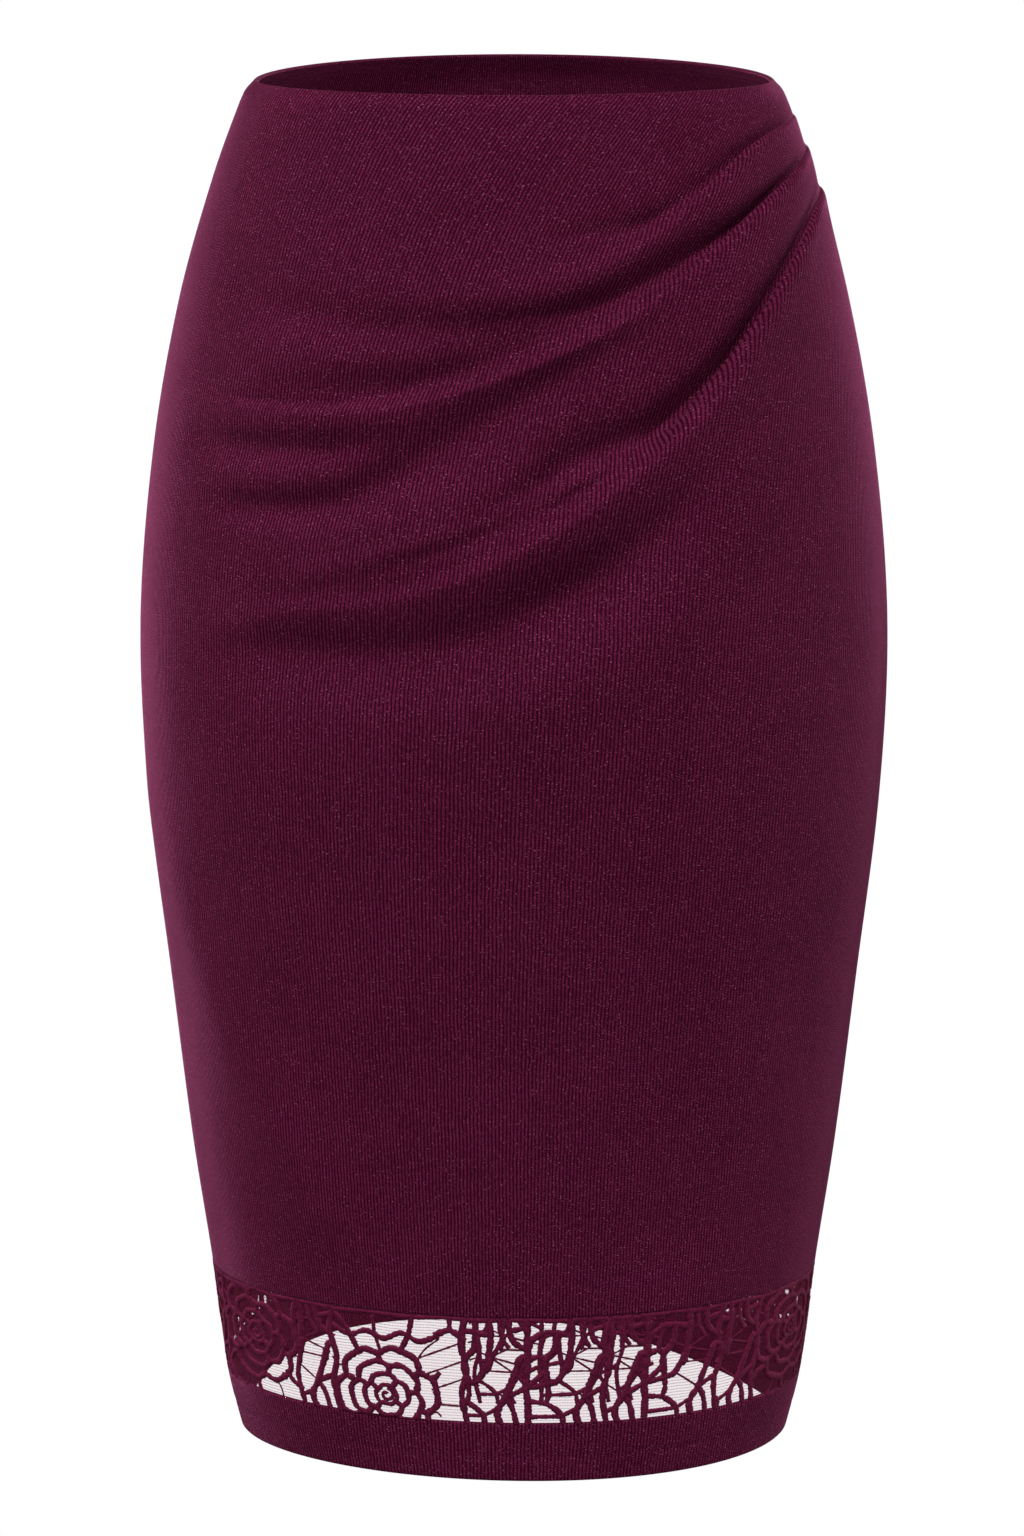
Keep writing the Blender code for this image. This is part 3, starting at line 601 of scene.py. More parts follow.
@dataclass(frozen=True)
class KnitFinish:
    """Fine rib knit with leaning dashed ribs, painted shade in the grooves between ribs and stitches, and
    light specks painted as glints. Reads the cloth's UV map in metres.
    """

    name: str = "rib_knit"
    rib: float = 1.42 * MM
    stitch: float = 1.25 * MM
    slope: float = 0.9
    sway: float = 0.9
    sway_scale: float = 60.0
    dash_depth: float = 0.62
    stitch_spread: float = 0.70
    fuzz: float = 0.4
    fuzz_scale: float = 1500.0
    patch_scale: float = 22.0
    # colour in the grooves between ribs and stitches: painted shade
    groove: Colour = (0.0260, 0.0008, 0.0085)
    yarn: Colour = (0.1200, 0.0110, 0.0430)
    # light specks painted as glints of the fibres
    painted_glint: Colour = (0.3000, 0.0900, 0.1750)
    fleck_scale: float = 1350.0
    fleck_cover: float = 0.7
    relief: float = 0.15 * MM
    nap: Nap = Nap(0.80, 0.02, 0.34, 0.26, (1.0, 0.24, 0.54))

    def build(self) -> bpy.types.Material:
        """Makes the material."""
        tree = Nodes.material(self.name)
        uv = tree.add("UVMap", uv_map=CLOTH_MAP).outputs[0]
        parts = tree.add("SeparateXYZ", {0: uv}).outputs
        sway = tree.math("MULTIPLY", tree.noise(uv, self.sway_scale, 3.0), self.sway)
        across = tree.math("ADD", tree.math("DIVIDE", parts[0], self.rib), sway)
        rib = tree.math("FLOOR", across)
        shift = tree.add("TexWhiteNoise", {"W": rib}, noise_dimensions="1D").outputs[0]
        along = tree.math("ADD", tree.math("DIVIDE", parts[1], self.stitch), shift)
        along = tree.math("MULTIPLY_ADD", across, self.slope, along)
        cell = tree.add("CombineXYZ", {0: rib, 1: tree.math("FLOOR", along)}).outputs[0]
        chance = tree.add("TexWhiteNoise", {"Vector": cell}, noise_dimensions="2D").outputs[0]
        ridge = tree.ramp(tree.math("PINGPONG", across, 0.5), 0.07, 0.40)
        dash = tree.ramp(tree.math("PINGPONG", along, 0.5), 0.02, 0.34)
        dash = tree.math("MULTIPLY_ADD", dash, self.dash_depth, 1 - self.dash_depth)
        fuzz = tree.noise(uv, self.fuzz_scale, 3.0)
        patch = tree.noise(uv, self.patch_scale, 4.0)
        yarn = tree.math("MULTIPLY", ridge, dash)
        height = tree.math("MULTIPLY_ADD", fuzz, self.fuzz, yarn)
        # The colour is painted darker where the ribs and stitches dip, as shade in the grooves, over
        # random tone by stitch, fuzz and patch.
        tone = tree.math("MULTIPLY", yarn, tree.math("MULTIPLY_ADD", chance, self.stitch_spread, 0.62))
        tone = tree.math("MULTIPLY", tone, tree.ramp(fuzz, 0.32, 0.68, 0.35, 1.65))
        tone = tree.math("MULTIPLY", tone, tree.ramp(patch, 0.30, 0.70, 0.86, 1.14))
        colour = tree.blend(tone, self.groove, self.yarn)
        # Painted glints: light specks scattered over the knit.
        spark = tree.ramp(tree.noise(uv, self.fleck_scale, 0.0), 0.70, 0.81)
        colour = tree.blend(tree.math("MULTIPLY", spark, self.fleck_cover), colour, self.painted_glint)
        return self.nap.finish(tree, colour, height, self.relief)


@dataclass(frozen=True)
class CordFinish:
    """Embroidered lace cord: fine thread, soft and slightly speckled, the light specks painted as glints.
    """

    name: str = "lace_cord"
    deep: Colour = (0.0420, 0.0016, 0.0120)
    thread: Colour = (0.1450, 0.0105, 0.0450)
    # light specks painted as glints of the thread
    painted_glint: Colour = (0.3400, 0.0800, 0.1800)
    fleck_scale: float = 1300.0
    fleck_cover: float = 0.55
    grain_scale: float = 1700.0
    patch_scale: float = 160.0
    relief: float = 0.18 * MM
    nap: Nap = Nap(0.75, 0.06, 0.10, 0.28, (1.0, 0.26, 0.56))

    def build(self) -> bpy.types.Material:
        """Makes the material."""
        tree = Nodes.material(self.name)
        place = tree.add("TexCoord").outputs["Object"]
        grain = tree.noise(place, self.grain_scale, 3.0)
        patch = tree.ramp(tree.noise(place, self.patch_scale, 2.0), 0.25, 0.75, 0.6, 1.0)
        tone = tree.math("MULTIPLY", tree.ramp(grain, 0.30, 0.70), patch)
        colour = tree.blend(tone, self.deep, self.thread)
        # Painted glints: light specks scattered over the cord.
        spark = tree.noise(place, self.fleck_scale, 1.0)
        spark = tree.ramp(spark, 0.70, 0.80, 0.0, self.fleck_cover)
        colour = tree.blend(spark, colour, self.painted_glint)
        return self.nap.finish(tree, colour, grain, self.relief)


@dataclass(frozen=True)
class NetFinish:
    """Sheer net with fine level threads. Reads the cloth's UV map in metres."""

    name: str = "sheer_net"
    pitch: float = 1.45 * MM
    upright_pitch: float = 0.75 * MM
    upright_cover: float = 0.35
    sway: float = 0.8
    sway_scale: float = 70.0
    fuzz_scale: float = 900.0
    thread: Colour = (0.095, 0.007, 0.020)
    veil: Colour = (0.985, 0.945, 0.960)
    roughness: float = 0.8
    specular: float = 0.1
    sparse: float = 0.05
    dense: float = 0.34

    def build(self) -> bpy.types.Material:
        """Makes the material."""
        tree = Nodes.material(self.name)
        uv = tree.add("UVMap", uv_map=CLOTH_MAP).outputs[0]
        parts = tree.add("SeparateXYZ", {0: uv}).outputs
        sway = tree.math("MULTIPLY", tree.noise(uv, self.sway_scale, 2.0), self.sway)
        level = tree.math("ADD", tree.math("DIVIDE", parts[1], self.pitch), sway)
        line = tree.ramp(tree.math("PINGPONG", level, 0.5), 0.30, 0.46)
        upright = tree.math("PINGPONG", tree.math("DIVIDE", parts[0], self.upright_pitch), 0.5)
        mesh = tree.math("MULTIPLY", tree.ramp(upright, 0.30, 0.48), self.upright_cover)
        cover = tree.math("MAXIMUM", line, mesh)
        fuzz = tree.ramp(tree.noise(uv, self.fuzz_scale), 0.3, 0.7, 0.5, 1.0)
        cover = tree.math("MULTIPLY", cover, fuzz)
        cover = tree.math("MULTIPLY_ADD", cover, self.dense, self.sparse)
        cloth = tree.add(
            "BsdfPrincipled",
            {
                "Base Color": (*self.thread, 1.0),
                "Roughness": self.roughness,
                "Specular IOR Level": self.specular,
            },
        )
        clear = tree.add("BsdfTransparent", {"Color": (*self.veil, 1.0)})
        shader = tree.add("MixShader", {0: cover, 1: clear.outputs[0], 2: cloth.outputs[0]})
        return tree.finish(shader.outputs[0])


def make_object(bm: bmesh.types.BMesh, name: str, material: bpy.types.Material) -> bpy.types.Object:
    """Turns a bmesh into a smooth-shaded object of the skirt.

    Args:
        bm: The shape, which is freed.
        name: The piece's name.
        material: Its finish.

    Returns:
        The new object, at the origin.
    """
    mesh = bpy.data.meshes.new(name)
    bm.to_mesh(mesh)
    bm.free()
    mesh.materials.append(material)
    mesh.shade_smooth()
    piece = bpy.data.objects.new(name, mesh)
    bpy.context.scene.collection.objects.link(piece)
    return piece


def skin(
    bm: bmesh.types.BMesh, places: np.ndarray, coordinates: np.ndarray, outward: bool
) -> list[list[bmesh.types.BMVert]]:
    """Adds one face of a cloth wall as a bent grid with a UV map.

    Args:
        bm: Where it is added.
        places: Points by row from the top and by column from the first seam.
        coordinates: UV coordinates in the same layout.
        outward: Whether the wall's outer side is this one.

    Returns:
        The grid's vertices by row and column.
    """
    rows, columns = places.shape[0] - 1, places.shape[1] - 1
    made = bmesh.ops.create_grid(bm, x_segments=columns, y_segments=rows, size=0.5)["verts"]
    grid = [[None] * (columns + 1) for _ in range(rows + 1)]
    spot = {}
    for vertex in made:
        column = round((vertex.co.x + 0.5) * columns)
        row = round((0.5 - vertex.co.y) * rows)
        grid[row][column] = vertex
        spot[vertex] = (row, column)
        vertex.co = places[row, column]
    layer = bm.loops.layers.uv.get(CLOTH_MAP) or bm.loops.layers.uv.new(CLOTH_MAP)
    faces = {face for vertex in made for face in vertex.link_faces}
    for face in faces:
        for loop in face.loops:
            loop[layer].uv = coordinates[spot[loop.vert]]
    if not outward:
        bmesh.ops.reverse_faces(bm, faces=list(faces))
    return grid


def close_wall(bm: bmesh.types.BMesh) -> None:
    """Joins the rims of a wall's outer and inner faces, and gives the rim the UV of its neighbours.

    Args:
        bm: A mesh that holds the two faces and nothing else.
    """
    rim = [edge for edge in bm.edges if edge.is_boundary]
    made = bmesh.ops.bridge_loops(bm, edges=rim)["faces"]
    layer = bm.loops.layers.uv[CLOTH_MAP]
    for face in made:
        face.smooth = True
        for loop in face.loops:
            others = [other for other in loop.vert.link_loops if other.face not in made]
            if others:
                loop[layer].uv = others[0][layer].uv


def edge_stations(length: float, inner: int, near: Sequence[float]) -> np.ndarray:
    """Parts of a length at even steps, with closer ones beside both its ends.

    Args:
        length: The whole length.
        inner: How many even steps lie between the close ones.
        near: Distances from an end, from zero up.

    Returns:
        The parts, from 0 to 1.
    """
    start = np.array(near) / length
    middle = np.linspace(start[-1], 1 - start[-1], inner + 1)[1:-1]
    return np.r_[start, middle, 1 - start[::-1]]


def rolled_edge(distance: np.ndarray, radius: float) -> np.ndarray:
    """How far a rounded edge falls back.

    Args:
        distance: Distances from the edge.
        radius: The edge's radius.

    Returns:
        The falls, as negative rises.
    """
    inside = np.clip(radius - distance, 0.0, radius)
    return -(radius - np.sqrt(radius**2 - inside**2))


@dataclass
class KnitPiece:
    """A piece of rib knit between the two side seams, as a closed wall."""

    name: str
    half: Half
    top: float
    bottom: float
    columns: int
    rows: int
    wall: float
    folds: Sequence[Row]
    seam_dent: float = 0.8 * MM
    seam_reach: float = 1.3 * MM
    edge_round: float = 0.8 * MM
    seam_near: Sequence[float] = (0.0, 0.35 * MM, 0.8 * MM, 1.4 * MM, 2.3 * MM, 3.6 * MM)
    edge_near: Sequence[float] = (0.0, 0.12 * MM, 0.35 * MM, 0.8 * MM, 1.6 * MM)

    def shares(self) -> np.ndarray:
        """Columns of the grid, which reach the seams."""
        width = FORM.lengths(self.half, (self.top + self.bottom) / 2)[-1]
        return edge_stations(width, self.columns, self.seam_near)

    def drops(self, shares: np.ndarray) -> np.ndarray:
        """Rows of the grid, by column."""
        parts = edge_stations(self.bottom - self.top, self.rows, self.edge_near)
        drops = self.top + parts * (self.bottom - self.top)
        return np.repeat(drops[:, None], len(shares), axis=1)

    def seam_fall(self, share: np.ndarray, drop: np.ndarray) -> np.ndarray:
        """How far the cloth draws in at the side seams.

        Args:
            share: Shares of the half's width.
            drop: Depths below the waist.

        Returns:
            The falls, as negative rises.
        """
        width = FORM.lengths(self.half, float(np.mean(drop)))[-1]
        away = np.minimum(share, 1 - share) * width
        return -self.seam_dent * np.exp(-away / self.seam_reach)

    def edge_fall(self, drop: np.ndarray) -> np.ndarray:
        """How far the upper and lower edges fall back."""
        return rolled_edge(drop - self.top, self.edge_round) + rolled_edge(
            self.bottom - drop, self.edge_round
        )

    def outer(self, share: np.ndarray, drop: np.ndarray) -> tuple[np.ndarray, np.ndarray]:
        """Drops and rises of the outer face."""
        rise = FORM.soft(self.folds, share, drop) + self.seam_fall(share, drop)
        return drop, rise + self.edge_fall(drop)

    def inner(self, share: np.ndarray, drop: np.ndarray) -> tuple[np.ndarray, np.ndarray]:
        """Drops and rises of the inner face."""
        rise = FORM.soft(self.folds, share, drop) + self.seam_fall(share, drop)
        return drop, rise - self.wall - self.edge_fall(drop)

    def grain(self, share: np.ndarray, drop: np.ndarray) -> np.ndarray:
        """The cloth's own coordinates in metres: across the ribs and along them."""
        width = FORM.lengths(self.half, FOLD_LEVEL)[-1]
        return np.stack([share * width, -drop], -1)

    def build(self, material: bpy.types.Material) -> bpy.types.Object:
        """Makes the piece. The outer face's map runs along the cloth, through its folds.

        Args:
            material: The knit.

        Returns:
            The piece's object.
        """
        shares = self.shares()
        drops = self.drops(shares)
        share = np.broadcast_to(shares, drops.shape)
        grain = self.grain(share, drops)
        bm = bmesh.new()
        drop, rise = self.inner(share, drops)
        skin(bm, FORM.cloth(self.half, share, drop, rise), grain, outward=False)
        drop, rise = self.outer(share, drops)
        places = FORM.cloth(self.half, share, drop, rise)
        steps = np.linalg.norm(np.diff(places, axis=0), axis=-1)
        grain[1:, :, 1] = -np.cumsum(steps, axis=0)
        skin(bm, places, grain, outward=True)
        close_wall(bm)
        return make_object(bm, self.name, material)


@dataclass
class BackPanel(KnitPiece):
    """The plain back, its top edge turned in and stitched."""

    turning: float = 6.5 * MM
    turning_wall: float = 0.9 * MM
    turning_soft: Sequence[float] = (0.5 * MM, 0.4 * MM)
    stitches_above: float = 1.6 * MM
    stitches_reach: float = 0.5 * MM
    stitches_depth: float = 0.35 * MM
    # millimetres below the waist edge
    waist_near: Sequence[float] = (
        0, 0.12, 0.35, 0.8, 1.6, 2.6, 3.8, 4.4, 4.9, 5.4, 5.9, 6.3, 6.7, 7.2,
    )

    def turned(self, drop: np.ndarray) -> np.ndarray:
        """Thickness that the turned edge adds inside, with the groove of its stitches.

        Args:
            drop: Depths below the waist.

        Returns:
            The added thickness.
        """
        above, below = self.turning_soft
        lip = 1 - smooth_step(self.turning - above, self.turning + below, drop)
        away = (drop - self.turning + self.stitches_above) / self.stitches_reach
        return self.turning_wall * lip - self.stitches_depth * np.exp(-(away**2))

    def drops(self, shares: np.ndarray) -> np.ndarray:
        """Rows of the grid, closer where the edge is turned."""
        near = [depth * MM for depth in self.waist_near]
        below = edge_stations(self.bottom - near[-1], self.rows, self.edge_near)
        below = near[-1] + below * (self.bottom - near[-1])
        drops = np.r_[near, below[len(self.edge_near) :]]
        return np.repeat(drops[:, None], len(shares), axis=1)

    def outer(self, share: np.ndarray, drop: np.ndarray) -> tuple[np.ndarray, np.ndarray]:
        """Drops and rises of the outer face."""
        drop, rise = super().outer(share, drop)
        return drop, rise + FORM.waist(drop)

    def inner(self, share: np.ndarray, drop: np.ndarray) -> tuple[np.ndarray, np.ndarray]:
        """Drops and rises of the inner face."""
        drop, rise = super().inner(share, drop)
        return drop, rise + FORM.waist(drop) - self.turned(drop)


@dataclass
class FrontPanel(BackPanel):
    """The front, with three tucks whose lips lie over the cloth above them."""

    waist_near: Sequence[float] = (0, 0.12, 0.35, 0.8, 1.6, 2.6, 3.8, 5.2, 6.3, 6.9)
    # rows across each tuck, in half widths of its roll
    stations: Sequence[float] = (-2.2, -1.7, *(row[0] for row in LIP_PROFILE))
    waist_rows: int = 14
    between_rows: int = 22
    row_gap: float = 0.3 * MM
    gap_share: float = 0.46
    usual_tail: float = 0.4
    seam_start: float = 0.90
    seam_ease: float = 0.84
    lean: float = 1.70
    lean_start: float = 0.14
    lean_reach: float = 0.10

    def lips(self, share: np.ndarray) -> np.ndarray:
        """The tucks' tables at shares.

        Args:
            share: Shares of the front's width.

        Returns:
            An array by tuck, then drop, height, roll, hollow and slant, then share.
        """
        found = []
        for tuck in TUCKS:
            columns = np.moveaxis(smooth_columns(tuck, share), -1, 0)
            found.append((*columns, FORM.slant(tuck, share)))
        return np.array(found)

    def drops(self, shares: np.ndarray) -> np.ndarray:
        """Rows of the grid, which follow the tucks. Notes each row's tuck and station.

        Args:
            shares: The grid's columns.

        Returns:
            Drops by row and column.
        """
        near = [depth * MM for depth in self.waist_near]
        lips = self.lips(shares)
        rows = [np.full_like(shares, depth) for depth in near]
        self.row_tuck, self.row_station = [-1] * len(rows), [0.0] * len(rows)
        for k, (lip, _, roll, _, slant) in enumerate(lips):
            reach = roll / slant
            above = lip - (lips[k - 1][0] if k else near[-1])
            below = (lips[k + 1][0] if k + 1 < len(lips) else self.bottom) - lip
            room = self.gap_share * np.minimum(above, below)
            squeeze = np.minimum(1.0, room / (self.stations[-1] * reach))
            first = lip + self.stations[0] * reach * squeeze
            first = np.maximum(first, rows[-1] + self.row_gap)
            parts = self.waist_rows if k == 0 else self.between_rows
            rows += [rows[-1] + (first - rows[-1]) * (i + 1) / (parts + 1) for i in range(parts)]
            self.row_tuck += [-1] * parts
            self.row_station += [0.0] * parts
            for station in self.stations:
                rows.append(np.maximum(lip + station * reach * squeeze, first))
                self.row_tuck.append(k)
                self.row_station.append(station)
        start = rows[-1].copy()
        tail = edge_stations(1.0, self.rows, [depth / self.usual_tail for depth in self.edge_near])
        tail = tail[len(self.edge_near) :]
        tail = (tail - tail[0]) / (1 - tail[0])
        rows += [start + part * (self.bottom - start) for part in tail[1:]]
        self.row_tuck += [-1] * (len(tail) - 1)
        self.row_station += [0.0] * (len(tail) - 1)
        return np.array(rows)

    def tucked(
        self, share: np.ndarray, drop: np.ndarray, face: Face
    ) -> tuple[np.ndarray, np.ndarray]:
        """What the tucks and creases do to one face of the wall.

        Args:
            share: Shares by row and column.
            drop: Drops by row and column.
            face: Outer or inner.

        Returns:
            How far each point slides down, and its rise.
        """
        rise = sum(FORM.tuck(k, share, drop) for k in range(len(TUCKS)))
        rise += FORM.creases(share, drop)
        slide = np.zeros_like(rise)
        lips = self.lips(share[0])
        profile = np.array(LIP_PROFILE)
        for row, (k, station) in enumerate(zip(self.row_tuck, self.row_station)):
            if k < 0 or station < profile[0, 0]:
                continue
            _, height, roll, hollow, slant = lips[k]
            over = smooth_step(*LIP_STARTS[k], share[row])
            over *= 1 - self.seam_ease * smooth_step(self.seam_start, 1.0, share[row])
            at = np.interp(station, profile[:, 0], profile[:, 1])
            level = np.interp(station, profile[:, 0], profile[:, face.value])
            single = FORM.tuck(k, share[row], drop[row])
            rise[row] += over * ((height if level > 0 else hollow) * level - single)
            if face is Face.OUTER:
                slide[row] = over * (at - station) * roll / slant
        return slide, rise

    def outer(self, share: np.ndarray, drop: np.ndarray) -> tuple[np.ndarray, np.ndarray]:
        """Drops and rises of the outer face."""
        slide, tucks = self.tucked(share, drop, Face.OUTER)
        drop, rise = super().outer(share, drop)
        return drop + slide, rise + tucks

    def inner(self, share: np.ndarray, drop: np.ndarray) -> tuple[np.ndarray, np.ndarray]:
        """Drops and rises of the inner face."""
        _, tucks = self.tucked(share, drop, Face.INNER)
        drop, rise = super().inner(share, drop)
        return drop, rise + tucks

    def grain(self, share: np.ndarray, drop: np.ndarray) -> np.ndarray:
        """The cloth's own coordinates: the ribs lean towards the tucks."""
        lean = self.lean * np.maximum(share - self.lean_start, 0.0)
        aside = lean * self.lean_reach * np.exp(-drop / self.lean_reach)
        return np.stack([share * FORM.girth - aside, -drop], -1)


@dataclass
class HemBand(KnitPiece):
    """Half of the doubled knit band that finishes the hem, with the faint line of its inner edge."""

    line: float = 0.57
    line_depth: float = 0.40 * MM
    line_reach: float = 0.7 * MM
    hem_round: float = 1.2 * MM

    def edge_fall(self, drop: np.ndarray) -> np.ndarray:
        """How far the upper edge and the folded hem fall back."""
        return rolled_edge(drop - self.top, self.edge_round) + rolled_edge(
            self.bottom - drop, self.hem_round
        )

    def outer(self, share: np.ndarray, drop: np.ndarray) -> tuple[np.ndarray, np.ndarray]:
        """Drops and rises of the outer face."""
        drop, rise = super().outer(share, drop)
        level = self.top + self.line * (self.bottom - self.top)
        return drop, rise - self.line_depth * np.exp(-(((drop - level) / self.line_reach) ** 2))

    def grain(self, share: np.ndarray, drop: np.ndarray) -> np.ndarray:
        """The cloth's own coordinates in metres, at the band's own width."""
        width = FORM.lengths(self.half, (self.top + self.bottom) / 2)[-1]
        return np.stack([share * width, -drop], -1)


# Lace chart, as in the part. Millimetres across a repeat and up from the hem band.
LACE_HEIGHT = (BAND_TOP - LACE_TOP) / MM
LEAF_WIDTH = 36.0
LEAF_POINTS = {
    "a": (0.0, 54.0), "b": (0.6, 41.0), "c": (0.6, 32.0), "d": (-0.2, 18.0), "e": (0.8, 11.5),
    "f": (1.0, 3.5), "g": (1.0, -1.0), "h": (8.0, 46.2), "i": (13.6, 45.8), "j": (12.5, 37.0),
    "k": (8.5, 31.5), "l": (6.6, 40.0), "m": (6.2, 34.0), "n": (19.0, 54.0), "o": (20.2, 44.0),
    "p": (20.2, 33.5), "q": (18.5, 26.5), "r": (14.5, 22.0), "s": (9.6, 20.0), "t": (8.0, 26.0),
    "u": (10.2, 14.5), "v": (9.0, 10.4), "w": (13.3, 7.4), "x": (16.5, 3.8), "y": (17.2, -1.0),
    "z": (23.6, 7.8), "A": (36.6, 33.0), "B": (33.6, 33.0), "C": (31.2, 26.0), "D": (28.6, 19.0),
    "E": (26.6, 13.0), "F": (23.0, 4.0), "G": (24.6, -1.0), "H": (29.7, 8.0), "I": (31.8, -1.0),
    "J": (35.8, 18.0), "K": (24.0, 54.0), "L": (25.0, 44.0), "M": (28.4, 38.0), "N": (27.8, 54.0),
    "O": (28.6, 46.5), "P": (30.6, 41.0), "Q": (36.6, 37.0), "R": (36.4, 48.5), "S": (33.0, 29.6),
}
# half width of the cord, its points
LEAF_CORDS = (
    (1.5, "abcdefg"),
    (1.2, "bh"), (1.2, "hio"), (1.4, "ijks"), (1.3, "noqprs"), (0.9, "hlmk"), (1.1, "cmk"),
    (0.5, "bl"), (0.5, "jp"), (1.2, "ktd"), (1.2, "sd"), (1.0, "suv"), (1.0, "ve"),
    (1.1, "vwxy"), (0.8, "fx"), (0.8, "xz"), (1.4, "ABCDEzFG"), (1.1, "EHI"), (1.1, "JE"),
    (0.5, "pS"), (0.5, "qC"), (0.5, "rE"), (0.7, "KLM"), (0.5, "oL"), (0.5, "pM"),
    (1.2, "NOPQ"), (1.0, "OR"),
)
BARS_WIDTH, BARS_REACH = 12.0, 14.0
BARS_POINTS = {
    "a": (-1.0, 43.0), "b": (6.0, 46.0), "c": (13.0, 41.0), "d": (-12.0, 29.5), "e": (-6.0, 23.0),
    "f": (13.0, 31.5), "g": (-3.0, 15.5), "h": (13.0, 22.5), "i": (-2.0, 8.5), "j": (13.0, 8.0),
    "k": (6.0, 54.0),
}
BARS_CORDS = ((1.2, "abc"), (0.9, "bk"), (0.5, "dc"), (0.5, "ef"), (0.5, "gh"), (0.5, "ij"))
TRUNK_BEND, TRUNK_HALF_CORD = 1.2, 1.2
TRUNK_HEIGHTS = (54.0, 40.0, 27.0, 14.0, -1.0)
ROSE_WIDTH = 49.0
# radius, number of petals, first petal's angle in degrees, half width of the cord
ROSE_RINGS = (
    (5.0, 3, 20.0, 0.9),
    (10.5, 4, 55.0, 1.1),
    (17.0, 5, 10.0, 1.2),
    (24.0, 6, 38.0, 1.3),
)
PETAL_DIP, PETAL_SPOTS = 0.86, 4
PETAL_FOOT, RAY_FOOT, SHORTEST_RAY = 0.97, 0.93, 1.05
# The curl at the rose's heart: its first radius and angle in degrees, and what each spot adds
CURL_SPOTS, CURL_HALF_CORD = 9, 0.55
CURL_RADIUS, CURL_GROWTH, CURL_ANGLE, CURL_TURN = 0.7, 0.36, 40.0, 50.0
# angle in degrees, half width of the cord
ROSE_RAYS = (
    (8.0, 0.5), (28.0, 1.1), (50.0, 0.5), (72.0, 1.0), (95.0, 0.6), (121.0, 1.1), (148.0, 0.5),
    (172.0, 0.9), (196.0, 0.5), (220.0, 1.1), (246.0, 0.5), (268.0, 1.0), (293.0, 0.5),
    (318.0, 1.1), (341.0, 0.5),
)
RAY_SWAY = 1.3
WAVE_POINTS = {
    "a": (-1.0, 44.0), "b": (8.0, 39.5), "c": (16.5, 42.5), "d": (24.5, 39.5), "e": (33.0, 43.0),
    "f": (41.0, 39.5), "g": (50.0, 43.0),
}
WAVE_CORDS = ((1.1, "abcdefg"),)
LOW_ROSE, HIGH_ROSE = 11.0, 30.0
OVERRUN = 1.0
# motif, the point of its chart where it starts
FRONT_LACE = (
    ("leaf", 15.0), ("high rose", 0.0), ("leaf", 17.0), ("low rose", 0.0), ("bars", 0.0),
    ("leaf", 8.0), ("leaf", 0.0), ("leaf", 18.0), ("leaf", 0.0), ("leaf", 15.0),
    ("high rose", 0.0), ("leaf", 26.0),
)
BACK_LACE = (
    ("leaf", 24.0), ("low rose", 0.0), ("bars", 0.0), ("leaf", 0.0), ("leaf", 18.0),
    ("high rose", 0.0), ("leaf", 16.0), ("leaf", 0.0), ("low rose", 0.0), ("bars", 0.0),
    ("leaf", 8.0), ("leaf", 0.0), ("high rose", 0.0), ("leaf", 20.0),
)

# The lace is closer in places, where a copy of its cords is laid over it: shift across and up, start
# and end across the band. Then the least and greatest half width of the copied cords.
FRONT_FILLINGS = ((6.0, 11.0, 152.0, 236.0),)
BACK_FILLINGS = (
    (7.0, 4.0, 0.0, 105.0), (-6.0, -5.0, 0.0, 105.0), (12.0, -9.0, 40.0, 105.0),
    (7.0, 4.0, 317.0, 422.0), (-6.0, -5.0, 317.0, 422.0), (12.0, -9.0, 317.0, 382.0),
)
FRONT_FILLING_CORDS, BACK_FILLING_CORDS = (0.5, 0.7), (1.0, 1.5)

Run = tuple[float, list[Point2]]


